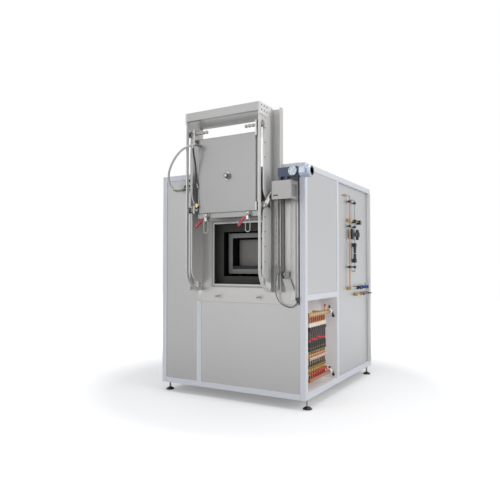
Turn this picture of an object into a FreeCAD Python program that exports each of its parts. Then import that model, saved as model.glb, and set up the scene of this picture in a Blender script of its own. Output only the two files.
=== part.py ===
import FreeCAD, Part
import math
import os

from FreeCAD import Vector

# Vacuum furnace: a cabinet with a water-cooled vessel behind its front plate and a door that a
# chain lifts along two slotted guide plates. Millimetres, +Z up, the door faces -Y.
# The pieces are placed from the middle of the cabinet front, on the floor, and at the end
# everything moves so that the origin is at the bottom centre of the whole.

# Cabinet
cabinet_width = 1520.0
cabinet_depth = 1845.0
cabinet_height = 2000.0
foot_height = 90.0
foot_pad_diameter = 80.0
foot_pad_thickness = 14.0
foot_spindle_diameter = 20.0
foot_nut_height = 12.0
foot_setback = 92.0
foot_plug_thickness = 8.0
tube = 50.0
tube_wall = 3.0
sheet = 2.0
panel_fold = 15.0
panel_recess = 3.0
panel_gap = 0.5
bay_length = 706.0
bay_height = 782.0
bay_depth = 120.0
gas_panel_recess = 25.0

# Throat, front plate and vessel
throat_width = 504.0
throat_height = 550.0
throat_centre_x = 97.0
throat_centre_z = 1326.0
front_plate_left_margin = 399.0
front_plate_thickness = 12.0
front_plate_bottom = 887.0
front_plate_side_gap = 13.0
gasket_width = 16.0
gasket_height = 5.0
gasket_margin = 14.0
vessel_wall = 25.0
vessel_margin = 100.0
vessel_depth = 900.0
vessel_beam_front = 112.0
vessel_beam_rear = 812.0
lining_front = 90.0
lining_wall = 50.0
lining_lip_width = 410.0
lining_lip_height = 412.0
lining_lip_thickness = 50.0
lining_clearance = 4.0
lining_depth = 720.0
muffle_width = 414.0
muffle_height = 379.0
muffle_wall = 43.0
muffle_front = 180.0
muffle_depth = 520.0
muffle_foot = 6.0
hearth_thickness = 30.0
hearth_clearance = 1.0
process_box_width = 306.0
process_box_height = 250.0
process_box_front = 290.0
process_box_depth = 360.0
process_lid_thickness = 12.0
rod_diameter = 12.0
rod_pitch = 70.0
rod_count = 7
suction_bore_diameter = 160.0
suction_pipe_wall = 4.0
suction_flange_diameter = 240.0
suction_flange_thickness = 16.0
suction_bolt_circle = 208.0
suction_bolt_hole = 11.0
suction_bolt_count = 8
suction_centre_z = 620.0
suction_bend_radius = 200.0
suction_bore_depth = 310.0
trap_radius = 160.0
trap_bottom = 420.0
trap_dome = 40.0
trap_beam_lead = 130.0
trap_leg_width = 40.0
trap_leg_spacing = 220.0
trap_leg_top = 470.0
rear_beam_inset = 295.0
transformer_left = -640.0
transformer_depth = 140.0
transformer_height = 460.0
transformer_yoke = 90.0
transformer_overhang = 60.0
coil_diameter = 144.0
rear_projection = 30.0
suction_panel_clearance = 6.0

# Tower
tower_inner_width = 731.0
tower_centre_x = 81.5
tower_head_rise = 180.0
guide_thickness = 12.0
guide_reach = 250.0
guide_tail_radius = 200.0
slot_width = 52.0
slot_front_land = 29.0
bend_radius = 145.0
slot_overtravel = 8.0
post_width = 96.0
post_depth = 55.0
post_wall = 5.0
post_top_gap = 15.0
post_bottom = 990.0
head_front_height = 73.0
head_front_depth = 40.0
head_rear_height = 75.0
head_wall = 5.0
gusset_thickness = 6.0
gusset_height = 98.0
screw_head_diameter = 12.0
screw_head_height = 6.0
screw_pitch = 126.0
screw_land = 12.0

# Door, shown raised
lift_height = 674.0
door_width = 624.0
door_height = 720.0
door_thickness = 30.0
door_front = 175.0
cover_width = 586.0
cover_bottom_margin = 44.0
cover_top_margin = 8.0
cover_thickness = 15.0
plug_clearance = 14.0
plug_depth = 90.0
port_offset_x = 12.0
port_diameter = 70.0
port_height = 16.0
port_stub_diameter = 34.0
port_stub_height = 22.0
roller_spacing = 692.0
lower_roller_drop = 282.0
roller_diameter = 50.0
roller_width = 11.0
axle_diameter = 20.0
roller_fit = 0.05
bracket_thickness = 12.0
bracket_width = 70.0
axle_ring_pitch = 34
axle_ring_width = 14.0
upper_axle_reach = 105.0
lower_axle_reach = 16.0
axle_washer_diameter = 56.0
axle_washer_thickness = 4.0
side_play = 1.0

# Toggle clamps
clamp_left_x = -113.0
clamp_right_x = 317.0
clamp_pivot_reach = 22.0
clamp_pivot_rise = 28.0
clamp_cheek = 4.0
clamp_cheek_gap = 24.0
clamp_foot_edge = 8.0
clamp_foot_thickness = 5.0
clamp_pin_diameter = 8.0
clamp_pin_fit = 0.06
clamp_throw = 52.0
handle_slope = 38.0
handle_length = 190.0
handle_grip_diameter = 24.0
handle_grip_length = 120.0
bail_length = 110.0
bail_width = 44.0
bail_rod_diameter = 8.0
catch_centre_z = 940.0
catch_reach = 64.0
catch_diameter = 22.0

# Lifting drive
chain_x = 605.0
chain_y = -105.0
chain_pitch = 12.7
chain_band_width = 11.0
chain_band_thickness = 1.5
chain_roller_diameter = 8.0
sprocket_teeth = 12
sprocket_width = 7.0
sprocket_top_z = 1850.0
sprocket_bottom_z = 1143.0
sprocket_shaft_diameter = 16.0
chain_side_gap = 1.0
rail_width = 34.0
rail_height = 28.0
rail_bottom = 1010.0
rail_top = 1920.0
rail_hole_diameter = 14.0
rail_hole_depth = 9.0
rail_hole_pitch = 60.0
carriage_width = 62.0
carriage_height = 100.0
carriage_cap = 24.0
carriage_play = 0.4
carriage_grip = 14.0
link_rise = 118.0
link_pin_y = -80.0
link_eye_width = 24.0
link_eye_diameter = 38.0
link_body_diameter = 40.0
link_rib_diameter = 46.0
link_rib_count = 4
link_rib_start = 48.0
link_rib_pitch = 22.0
link_rib_width = 9.0
link_pin_diameter = 16.0
link_bore_fit = 0.1
chain_arm_reach = 14.0
chain_arm_height = 30.0
drive_box_left = 521.0
drive_box_right = 697.0
drive_box_bottom = 1772.0
drive_box_top = 1927.0
drive_box_front = 150.0
drive_box_wall = 3.0
drive_box_rear_gap = 78.0
bevel_case = 50.0
bearing_length = 12.0
bearing_diameter = 36.0
motor_y = -110.0
motor_z = 1990.0
motor_diameter = 98.0
motor_length = 75.0
cowl_length = 23.0
cowl_diameter = 100.0
adapter_length = 18.0
adapter_diameter = 84.0
gear_block_length = 86.0
gear_block_height = 80.0
gear_block_depth = 80.0
gear_cover_diameter = 72.0
gear_cover_height = 12.0
worm_block_length = 96.0
worm_block_height = 76.0
worm_block_depth = 60.0
gear_left = 573.0
worm_block_lift = 6.0
worm_corner_radius = 8.0
gear_block_lift = 4.0
gear_spindle_diameter = 30.0
gear_leg_width = 20.0
motor_fin_count = 16
motor_fin_thickness = 4.0
motor_fin_margin = 8.0
terminal_length = 46.0
terminal_height = 44.0
terminal_reach = 22.0
duct_width = 37.0
duct_depth = 22.0
duct_left = 640.0
duct_bottom = 930.0
duct_top = 1875.0
switch_size = 24.0
switch_height = 60.0
socket_height = 28.0
gland_length = 14.0
gland_diameter = 14.0
tension_cheek = 4.0
tension_cheek_gap = 32.0
tension_base = 8.0
tension_base_size = 68.0
guard_standoff = 41.0
guard_thickness = 3.0
guard_drop = 38.0
guard_height = 96.0
guard_width = 72.0
guard_slant = 35.0

# Cooling water
manifold_inset = 40.0
circuit_count = 8
circuit_first_y = 175.0
circuit_pitch = 48.5
supply_z = 787.0
supply_diameter = 38.0
return_z = 224.0
return_diameter = 34.0
middle_bar_z = 405.0
middle_bar_diameter = 28.0
circuit_spindle_diameter = 16.0
flow_tube_diameter = 24.0
flow_tube_bottom = 548.0
flow_tube_top = 650.0
lever_length = 30.0
lever_width = 11.0
lever_thickness = 5.0
lever_z = 290.0
lever_lean = 25.0
lever_boss_diameter = 16.0
lever_boss_length = 9.0
lever_stem_diameter = 8.0
lever_fit = 0.06
bar_standoff = 18.0
bar_front_end = 40.0
bar_rear_end = 120.0
end_valve_length = 34.0
end_valve_stem = 14.0
end_valve_rise = 44.0
vent_offset = 22.0
vent_rise = 74.0
column_neck = 66.0
column_cap = 106.0
flow_fitting_length = 48.0
check_nut_length = 30.0
lever_valve_size = 26.0
lever_stem_length = 14.0
union_rise = 30.0
union_top = 62.0

# Gas panel, measured from the rear of the cabinet
copper_rear_gap = 710.0
steel_rear_gap = 550.0
gas_reducer_z = 1545.0
gas_cross_z = 1684.0
gas_clamp_high_z = 1878.0
gas_clamp_middle_z = 1625.0
gas_clamp_low_z = 1204.0
copper_top = 1935.0
copper_head_reach = 122.0
steel_top = 1905.0
steel_head_reach = 70.0
steel_bottom = 1160.0
gas_tube_diameter = 12.0
gas_branch_diameter = 9.6
gas_tube_standoff = 24.0
gas_clamp_diameter = 28.0
gas_clamp_stem = 14.0
gas_clamp_height = 24.0
gas_tee_size = 34.0
gauge_offset = 160.0
gauge_diameter = 46.0
gauge_depth = 14.0
reducer_offset = 86.0
reducer_diameter = 48.0
reducer_height = 44.0
reducer_bonnet_height = 34.0
reducer_knob_diameter = 30.0
reducer_knob_height = 30.0
rotameter_bottom = 1250.0
rotameter_top = 1455.0
rotameter_block = 40.0
rotameter_width = 36.0
rotameter_reach = 15.0
rotameter_glass_diameter = 22.0
gas_feed_z = 985.0
gas_supply_z = 915.0
gas_valve_rear_gap = 277.0
black_valve_lead = 152.0
round_valve_lag = 102.0
gas_inlet_rear_gap = 136.0
gas_row_block = 34.0
gas_valve_diameter = 30.0
gas_valve_length = 48.0
gas_union_diameter = 38.0
gas_union_length = 8.0
gas_stand_diameter = 16.0
gas_valve_lever_length = 42.0
gas_inlet_diameter = 14.0
gas_inlet_length = 34.0
supply_row_reach = 360.0
coupling_z = 1945.0
hose_stem_diameter = 24.0
hose_nut_diameter = 30.0
hose_nipple_length = 36.0
drop_nipple_length = 26.0
drop_stem_diameter = 14.0
coupling_diameter = 22.0
coupling_half_length = 30.0
coupling_half_rise = 26.0
spare_port_rise = 50.0


def box(x0, x1, y0, y1, z0, z1):
    return Part.makeBox(x1 - x0, y1 - y0, z1 - z0, Vector(x0, y0, z0))


def rod_x(x0, x1, y, z, diameter):
    return Part.makeCylinder(diameter / 2, x1 - x0, Vector(x0, y, z), Vector(1, 0, 0))


def rod_y(x, y0, y1, z, diameter):
    return Part.makeCylinder(diameter / 2, y1 - y0, Vector(x, y0, z), Vector(0, 1, 0))


def rod_z(x, y, z0, z1, diameter):
    return Part.makeCylinder(diameter / 2, z1 - z0, Vector(x, y, z0), Vector(0, 0, 1))


def rod_between(start, end, diameter):
    return Part.makeCylinder(diameter / 2, (end - start).Length, start, end - start)


def plate_yz(points, x0, x1):
    corners = [Vector(x0, y, z) for y, z in points]
    return Part.Face(Part.makePolygon(corners + corners[:1])).extrude(Vector(x1 - x0, 0, 0))


def plate_xz(points, y0, y1):
    corners = [Vector(x, y0, z) for x, z in points]
    return Part.Face(Part.makePolygon(corners + corners[:1])).extrude(Vector(0, y1 - y0, 0))


def group(solids):
    return Part.makeCompound(solids)


# Hoses and cable. Each list runs from one fitting to the other.
grey_hose_diameter = 20.0
grey_hose_route = [Vector(-216, -276, 2290), Vector(-290, -277, 2280), Vector(-385, -262, 2230),
                   Vector(-470, -230, 2164), Vector(-540, -186, 2104), Vector(-582, -142, 2046),
                   Vector(-592, -110, 1990), Vector(-562, -82, 1946), Vector(-508, -66, 1938),
                   Vector(-456, -60, 1960)]
black_hose_diameter = 16.0
black_hose_route = [Vector(-200, -276, 2262), Vector(-202, -262, 2200), Vector(-208, -224, 2120),
                    Vector(-215, -208, 2030), Vector(-219, -209, 1930), Vector(-212, -208, 1845),
                    Vector(-206, -207, 1776)]
cable_diameter = 8.0
cable_route = [Vector(520, -67, 1140), Vector(517, -64, 1088), Vector(506, -52, 1030),
               Vector(503, -36, 968), Vector(523, -23, 912), Vector(568, -16, 876),
               Vector(622, -14, 862), Vector(668, -14, 873), Vector(690, -14, 908)]

# Places that several pieces share
half = cabinet_width / 2
frame_bottom = foot_height
frame_top = foot_height + cabinet_height
inner_bottom = frame_bottom + tube
inner_top = frame_top - tube
mullion_right = throat_centre_x - front_plate_left_margin
mullion_left = mullion_right - tube
side_post_front = tube + bay_length
side_post_rear = side_post_front + tube
bay_top = inner_bottom + bay_height
guide_right = tower_centre_x + tower_inner_width / 2
guide_left = tower_centre_x - tower_inner_width / 2
slot_y = -guide_reach + slot_front_land + slot_width / 2
door_centre_z = throat_centre_z + lift_height
door_bottom = door_centre_z - door_height / 2
door_top = door_centre_z + door_height / 2
door_left = throat_centre_x - door_width / 2
door_right = throat_centre_x + door_width / 2
door_back = -door_front + door_thickness
cover_front = -door_front - cover_thickness
lower_roller_z = door_centre_z - lower_roller_drop
upper_roller_z = lower_roller_z + roller_spacing
tower_top = upper_roller_z + tower_head_rise
post_top = tower_top - post_top_gap
head_rear_bottom = post_top - head_rear_height
bend_centre_y = slot_y + bend_radius
lower_bend_z = throat_centre_z - lower_roller_drop + bend_radius
upper_bend_z = lower_bend_z + roller_spacing
sprocket_pitch_diameter = chain_pitch / math.sin(math.pi / sprocket_teeth)
link_pin_z = lower_roller_z + link_rise
link_x = guide_right + guide_thickness + side_play + axle_washer_thickness + 4
rail_left = guide_right + guide_thickness + post_width / 2 - rail_width / 2
gear_right = gear_left + worm_block_length + gear_block_length
motor_left = gear_right + adapter_length
motor_end = motor_left + motor_length + cowl_length
circuits_y = [circuit_first_y + circuit_pitch * step for step in range(circuit_count)]
gas_face = half - gas_panel_recess
gas_line_x = gas_face + gas_tube_standoff
rear_end = cabinet_depth + rear_projection
vessel_back = front_plate_thickness + vessel_depth
trap_y = (vessel_back + rear_end) / 2
trap_beam_front = trap_y - trap_beam_lead
rear_beam_front = cabinet_depth - rear_beam_inset
crossbeams_y = [vessel_beam_front, vessel_beam_rear, trap_beam_front, rear_beam_front]
manifold_x = half - manifold_inset
copper_y = cabinet_depth - copper_rear_gap
steel_y = cabinet_depth - steel_rear_gap
gas_valve_y = cabinet_depth - gas_valve_rear_gap
gas_inlet_y = cabinet_depth - gas_inlet_rear_gap
clamp_pivot_y = -door_front - clamp_pivot_reach
clamp_pivot_z = door_bottom + clamp_pivot_rise
sprocket_shaft_bore = sprocket_shaft_diameter + 2 * clamp_pin_fit
drive_shaft_span = [drive_box_left + drive_box_wall + side_play,
                    drive_box_right - drive_box_wall - bevel_case + bearing_length - side_play]
tension_shaft_half = tension_cheek_gap / 2 + tension_cheek + 3 * side_play
tension_shaft_span = [chain_x - tension_shaft_half, chain_x + tension_shaft_half]


def tube_along(axis, length, corner):
    size = {"x": (length, tube, tube), "y": (tube, length, tube), "z": (tube, tube, length)}[axis]
    hollow = {"x": (length, tube - 2 * tube_wall, tube - 2 * tube_wall),
              "y": (tube - 2 * tube_wall, length, tube - 2 * tube_wall),
              "z": (tube - 2 * tube_wall, tube - 2 * tube_wall, length)}[axis]
    shift = {"x": (0, tube_wall, tube_wall),
             "y": (tube_wall, 0, tube_wall),
             "z": (tube_wall, tube_wall, 0)}
    outer = Part.makeBox(size[0], size[1], size[2], corner)
    inner = Part.makeBox(hollow[0], hollow[1], hollow[2], corner + Vector(*shift[axis]))
    return outer.cut(inner)


def make_cabinet_frame():
    post_xs = [-half, half - tube]
    post_ys = [0, cabinet_depth - tube]
    tubes = []
    for x in post_xs:
        for y in post_ys:
            post = tube_along("z", cabinet_height, Vector(x, y, frame_bottom))
            plug = box(x + tube_wall, x + tube - tube_wall, y + tube_wall, y + tube - tube_wall,
                       frame_bottom, frame_bottom + foot_plug_thickness)
            tubes.append(post.fuse(plug).removeSplitter())
    for z in [frame_bottom, inner_top]:
        for x in post_xs:
            tubes.append(tube_along("y", cabinet_depth - 2 * tube, Vector(x, tube, z)))
        for y in post_ys:
            tubes.append(tube_along("x", cabinet_width - 2 * tube, Vector(-half + tube, y, z)))
    upright = inner_top - inner_bottom
    tubes.append(tube_along("z", upright, Vector(mullion_left, 0, inner_bottom)))
    tubes.append(tube_along("z", upright, Vector(half - tube, side_post_front, inner_bottom)))
    tubes.append(tube_along("y", bay_length, Vector(half - tube, tube, bay_top)))
    for y in crossbeams_y:
        tubes.append(tube_along("x", cabinet_width - 2 * tube, Vector(-half + tube, y, frame_bottom)))
    return group(tubes)


def make_feet():
    # they stand under the bottom tubes of the two sides
    solids = []
    for x in [-half + tube / 2, half - tube / 2]:
        for y in [foot_setback, cabinet_depth - foot_setback]:
            pad = Part.makeCone(foot_pad_diameter / 2, foot_spindle_diameter * 0.7, foot_pad_thickness,
                                Vector(x, y, foot_pad_thickness / 2))
            disc = rod_z(x, y, 0, foot_pad_thickness / 2, foot_pad_diameter)
            spindle = rod_z(x, y, 1.5 * foot_pad_thickness, foot_height, foot_spindle_diameter)
            nut = rod_z(x, y, foot_height - foot_nut_height, foot_height, foot_spindle_diameter * 1.7)
            solids.append(disc.fuse([pad, spindle, nut]).removeSplitter())
    return group(solids)


def tray_front(x0, x1, y0, z0, z1):
    body = box(x0, x1, y0, y0 + panel_fold, z0, z1)
    return body.cut(box(x0 + sheet, x1 - sheet, y0 + sheet, y0 + panel_fold, z0 + sheet, z1 - sheet))


def tray_rear(x0, x1, y1, z0, z1):
    body = box(x0, x1, y1 - panel_fold, y1, z0, z1)
    return body.cut(box(x0 + sheet, x1 - sheet, y1 - panel_fold, y1 - sheet, z0 + sheet, z1 - sheet))


def tray_side(outer_x, depth_sign, y0, y1, z0, z1):
    x_in = outer_x - depth_sign * panel_fold
    low = min(outer_x, x_in)
    body = box(low, low + panel_fold, y0, y1, z0, z1)
    hollow_x = low if depth_sign > 0 else low + sheet
    return body.cut(box(hollow_x, hollow_x + panel_fold - sheet, y0 + sheet, y1 - sheet,
                        z0 + sheet, z1 - sheet))


def make_left_front_panel():
    return tray_front(-half + tube + panel_gap, mullion_left - panel_gap, panel_recess,
                      inner_bottom + panel_gap, inner_top - panel_gap)


def make_lower_front_panel():
    return tray_front(mullion_right + panel_gap, half - tube - panel_gap, panel_recess,
                      inner_bottom + panel_gap, front_plate_bottom - panel_gap)


def make_roof_panel():
    z1 = frame_top - panel_recess
    y0 = tube + panel_gap
    y1 = cabinet_depth - tube - panel_gap
    x1 = half - tube - panel_gap
    body = box(-x1, x1, y0, y1, z1 - panel_fold, z1)
    return body.cut(box(-x1 + sheet, x1 - sheet, y0 + sheet, y1 - sheet, z1 - panel_fold, z1 - sheet))


def make_left_side_panel():
    return tray_side(-half + panel_recess, -1, tube + panel_gap, cabinet_depth - tube - panel_gap,
                     inner_bottom + panel_gap, inner_top - panel_gap)


def make_right_upper_panel():
    return tray_side(half - panel_recess, 1, tube + panel_gap, side_post_front - panel_gap,
                     bay_top + tube + panel_gap, inner_top - panel_gap)


def make_gas_panel():
    return tray_side(gas_face, 1, side_post_rear + panel_gap, cabinet_depth - tube - panel_gap,
                     inner_bottom + panel_gap, inner_top - panel_gap)


def make_rear_panel():
    panel = tray_rear(-half + tube + panel_gap, half - tube - panel_gap, cabinet_depth - panel_recess,
                      inner_bottom + panel_gap, inner_top - panel_gap)
    outer = suction_bore_diameter + 2 * suction_pipe_wall + suction_panel_clearance
    return panel.cut(rod_y(throat_centre_x, cabinet_depth - 2 * panel_fold, cabinet_depth,
                           suction_centre_z, outer))


def make_manifold_bay():
    x0 = half - tube - bay_depth
    x1 = half - panel_recess
    y0 = tube + panel_gap
    y1 = side_post_front - panel_gap
    z0 = inner_bottom + panel_gap
    z1 = bay_top - panel_gap
    back = box(x0 - sheet, x0, y0, y1, z0, z1)
    front = box(x0, x1, y0, y0 + sheet, z0, z1)
    rear = box(x0, x1, y1 - sheet, y1, z0, z1)
    floor = box(x0, x1, y0 + sheet, y1 - sheet, z0, z0 + sheet)
    roof = box(x0, x1, y0 + sheet, y1 - sheet, z1 - sheet, z1)
    return group([back, front, rear, floor, roof])


def make_front_plate():
    x1 = half - tube - front_plate_side_gap
    plate = box(mullion_right, x1, 0, front_plate_thickness, front_plate_bottom, inner_top)
    throat = box(throat_centre_x - throat_width / 2, throat_centre_x + throat_width / 2,
                 -1, front_plate_thickness + 1,
                 throat_centre_z - throat_height / 2, throat_centre_z + throat_height / 2)
    solids = [plate.cut(throat)]
    for x in [clamp_left_x, clamp_right_x]:
        stem = rod_y(x, -catch_reach, 0, catch_centre_z, catch_diameter * 0.6)
        head = rod_y(x, -catch_reach, -catch_reach + 6, catch_centre_z, catch_diameter)
        foot = rod_y(x, -5, 0, catch_centre_z, catch_diameter * 1.4)
        solids.append(stem.fuse([head, foot]).removeSplitter())
    return group(solids)


def make_door_gasket():
    inner_x = throat_width / 2 + gasket_margin
    inner_z = throat_height / 2 + gasket_margin
    ring = box(throat_centre_x - inner_x - gasket_width, throat_centre_x + inner_x + gasket_width,
               -gasket_height, 0,
               throat_centre_z - inner_z - gasket_width, throat_centre_z + inner_z + gasket_width)
    return ring.cut(box(throat_centre_x - inner_x, throat_centre_x + inner_x, -gasket_height, 0,
                        throat_centre_z - inner_z, throat_centre_z + inner_z))


def open_case(half_x, half_z, z_mid, y0, y1, wall):
    x = throat_centre_x
    left = box(x - half_x, x - half_x + wall, y0, y1, z_mid - half_z, z_mid + half_z)
    right = box(x + half_x - wall, x + half_x, y0, y1, z_mid - half_z, z_mid + half_z)
    floor = box(x - half_x + wall, x + half_x - wall, y0, y1, z_mid - half_z, z_mid - half_z + wall)
    roof = box(x - half_x + wall, x + half_x - wall, y0, y1, z_mid + half_z - wall, z_mid + half_z)
    return [left, right, floor, roof]


def make_furnace_vessel():
    half_x = throat_width / 2 + vessel_margin
    half_z = throat_height / 2 + vessel_margin
    y0 = front_plate_thickness
    y1 = y0 + vessel_depth
    walls = open_case(half_x, half_z, throat_centre_z, y0, y1 - vessel_wall, vessel_wall)
    back = box(throat_centre_x - half_x, throat_centre_x + half_x, y1 - vessel_wall, y1,
               throat_centre_z - half_z, throat_centre_z + half_z)
    back = back.cut(rod_y(throat_centre_x, y1 - vessel_wall, y1, throat_centre_z, suction_bore_diameter))
    legs = []
    for x in [throat_centre_x - half_x, throat_centre_x + half_x - tube]:
        for y in crossbeams_y[:2]:
            legs.append(box(x, x + tube, y, y + tube, inner_bottom, throat_centre_z - half_z))
    return group(walls + [back] + legs)


def make_insulation_case():
    half_x = throat_width / 2 + vessel_margin - vessel_wall - lining_clearance
    half_z = throat_height / 2 + vessel_margin - vessel_wall - lining_clearance
    y0 = lining_front + lining_lip_thickness
    y1 = lining_front + lining_depth
    boards = open_case(half_x, half_z, throat_centre_z, y0, y1 - lining_wall, lining_wall)
    back = box(throat_centre_x - half_x, throat_centre_x + half_x, y1 - lining_wall, y1,
               throat_centre_z - half_z, throat_centre_z + half_z)
    back = back.cut(rod_y(throat_centre_x, y1 - lining_wall, y1, throat_centre_z, suction_bore_diameter / 2))
    lip_x = half_x - lining_lip_width / 2
    lip_z = half_z - lining_lip_height / 2
    x = throat_centre_x
    z = throat_centre_z
    left = box(x - half_x, x - half_x + lip_x, lining_front, y0, z - half_z, z + half_z)
    right = box(x + half_x - lip_x, x + half_x, lining_front, y0, z - half_z, z + half_z)
    low = box(x - half_x + lip_x, x + half_x - lip_x, lining_front, y0, z - half_z, z - half_z + lip_z)
    high = box(x - half_x + lip_x, x + half_x - lip_x, lining_front, y0, z + half_z - lip_z, z + half_z)
    strips = []
    floor_z = z - half_z - lining_clearance
    for strip_x in [x - half_x / 2, x + half_x / 2]:
        strips.append(box(strip_x, strip_x + lining_wall, y0, y1, floor_z, z - half_z))
    return group(boards + [back, left, right, low, high] + strips)


def make_muffle():
    x = throat_centre_x
    z = throat_centre_z + muffle_foot
    half_x = muffle_width / 2
    half_z = muffle_height / 2
    y1 = muffle_front + muffle_depth
    walls = open_case(half_x, half_z, z, muffle_front, y1 - muffle_wall, muffle_wall)
    back = box(x - half_x, x + half_x, y1 - muffle_wall, y1, z - half_z, z + half_z)
    case_floor = throat_centre_z - throat_height / 2 - vessel_margin + vessel_wall + lining_clearance
    posts = []
    for post_x in [x - half_x / 2, x + half_x / 2]:
        for y in [muffle_front + muffle_wall, y1 - 2 * muffle_wall]:
            posts.append(rod_z(post_x, y + muffle_wall / 2, case_floor + lining_wall, z - half_z,
                               muffle_wall))
    return group(walls + [back] + posts)


def muffle_floor():
    return throat_centre_z + muffle_foot - muffle_height / 2 + muffle_wall


def make_process_box():
    x = throat_centre_x
    half_x = process_box_width / 2
    wall = process_lid_thickness
    floor_x = muffle_width / 2 - muffle_wall - hearth_clearance
    hearth_bottom = muffle_floor()
    hearth_top = hearth_bottom + hearth_thickness
    hearth = box(x - floor_x, x + floor_x, muffle_front,
                 muffle_front + muffle_depth - muffle_wall - hearth_clearance, hearth_bottom, hearth_top)
    y0 = process_box_front + process_lid_thickness
    y1 = process_box_front + process_box_depth
    top = hearth_top + process_box_height
    body = box(x - half_x, x + half_x, y0, y1, hearth_top, top)
    body = body.cut(box(x - half_x + wall, x + half_x - wall, y0, y1 - wall, hearth_top + wall, top - wall))
    lid = box(x - half_x, x + half_x, process_box_front, y0, hearth_top, top)
    return group([hearth, body, lid])


def make_heating_rods():
    solids = []
    gap = throat_width / 2 + vessel_margin - vessel_wall - lining_clearance - lining_wall - muffle_width / 2
    low = throat_centre_z - throat_height / 2 - vessel_margin + vessel_wall + lining_clearance + lining_wall
    high = 2 * throat_centre_z - low
    bar = 2 * rod_diameter
    for side in [-1, 1]:
        x = throat_centre_x + side * (muffle_width / 2 + gap / 2)
        first = muffle_front + rod_pitch / 2
        last = first + rod_pitch * (rod_count - 1)
        rail_low = box(x - bar / 2, x + bar / 2, first - bar, last + bar, low, low + bar)
        rail_high = box(x - bar / 2, x + bar / 2, first - bar, last + bar, high - bar, high)
        solids.append(rail_low)
        solids.append(rail_high)
        for step in range(rod_count):
            solids.append(rod_z(x, first + rod_pitch * step, low + bar, high - bar, rod_diameter))
    return group(solids)


def slot_cutter(x0, x1):
    top_z = upper_roller_z + slot_overtravel
    depth = x1 - x0
    straight = box(x0, x1, slot_y - slot_width / 2, slot_y + slot_width / 2, lower_bend_z, top_z)
    cutter = straight.fuse(rod_x(x0, x1, slot_y, top_z, slot_width))
    for z in [lower_bend_z, upper_bend_z]:
        centre = Vector(x0, bend_centre_y, z)
        ring = Part.makeCylinder(bend_radius + slot_width / 2, depth, centre, Vector(1, 0, 0))
        ring = ring.cut(Part.makeCylinder(bend_radius - slot_width / 2, depth, centre, Vector(1, 0, 0)))
        reach = bend_radius + slot_width
        quarter = ring.common(box(x0, x1, bend_centre_y - reach, bend_centre_y, z - reach, z))
        end = rod_x(x0, x1, bend_centre_y, z - bend_radius, slot_width)
        cutter = cutter.fuse([quarter, end])
    return cutter.removeSplitter()


def make_guide_plate(x0):
    x1 = x0 + guide_thickness
    radius = guide_tail_radius
    centre_y = -guide_reach + radius
    body = box(x0, x1, -guide_reach, 0, lower_bend_z, tower_top)
    tail = rod_x(x0, x1, centre_y, lower_bend_z, 2 * radius)
    tail = tail.common(box(x0, x1, -guide_reach, centre_y, lower_bend_z - radius, lower_bend_z))
    foot = box(x0, x1, centre_y, 0, lower_bend_z - radius, lower_bend_z)
    plate = body.fuse([tail, foot]).removeSplitter()
    return plate.cut(slot_cutter(x0, x1))


def make_tower_posts():
    solids = []
    right = guide_right + guide_thickness
    left = guide_left - guide_thickness - post_width
    for x0 in [left, right]:
        x1 = x0 + post_width
        channel = box(x0, x1, -post_depth, 0, post_bottom, post_top)
        channel = channel.cut(box(x0 + post_wall, x1 - post_wall, -post_depth, -post_wall,
                                  post_bottom, post_top))
        solids.append(channel)
    solids.append(lift_rail())
    return group(solids)


def lift_rail():
    x0 = rail_left
    y0 = -post_wall - rail_height
    rail = box(x0, x0 + rail_width, y0, -post_wall, rail_bottom, rail_top)
    count = int((rail_top - rail_bottom) / rail_hole_pitch)
    for step in range(count):
        z = rail_bottom + rail_hole_pitch * (step + 0.5)
        rail = rail.cut(rod_y(x0 + rail_width / 2, y0, y0 + rail_hole_depth, z, rail_hole_diameter))
    return rail


def make_tower_head():
    x0 = guide_left
    x1 = guide_right
    z0 = tower_top - head_front_height
    y0 = -guide_reach
    front = box(x0, x1, y0, y0 + head_front_depth, z0, tower_top)
    front = front.cut(box(x0, x1, y0 + head_wall, y0 + head_front_depth,
                          z0 + head_wall, tower_top - head_wall))
    rear = box(x0, x1, -post_depth, 0, head_rear_bottom, head_rear_bottom + head_rear_height)
    rear = rear.cut(box(x0, x1, -post_depth + head_wall, 0, head_rear_bottom + head_wall,
                        head_rear_bottom + head_rear_height - head_wall))
    solids = [front, rear]
    low = tower_top - gusset_height
    outline = [(-guide_reach, tower_top), (-guide_reach, low), (-guide_reach * 0.55, low - 12),
               (-post_depth, low + 26), (-post_depth, post_top)]
    for x in [guide_left - guide_thickness - gusset_thickness, guide_right + guide_thickness]:
        solids.append(plate_yz(outline, x, x + gusset_thickness))
    return group(solids)


def make_guide_screws():
    solids = []
    y = slot_y + slot_width / 2 + screw_land
    first = lower_bend_z + 0.5 * screw_pitch
    for z in [first + screw_pitch * step for step in range(10)]:
        if abs(z - upper_bend_z) < bend_radius + slot_width / 2:
            continue
        right = guide_right + guide_thickness
        left = guide_left - guide_thickness - screw_head_height
        solids.append(rod_x(right, right + screw_head_height, y, z, screw_head_diameter))
        solids.append(rod_x(left, left + screw_head_height, y, z, screw_head_diameter))
    gusset_right = guide_right + guide_thickness + gusset_thickness
    gusset_left = guide_left - guide_thickness - gusset_thickness
    for y in [-guide_reach + 24, -guide_reach + 72, -guide_reach + 120, -post_depth - 24]:
        for z in [tower_top - 26, tower_top - 66]:
            if y > -post_depth - 30 and z > tower_top - 30:
                continue
            solids.append(rod_x(gusset_right, gusset_right + screw_head_height, y, z, screw_head_diameter))
            solids.append(rod_x(gusset_left - screw_head_height, gusset_left, y, z, screw_head_diameter))
    return group(solids)


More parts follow.
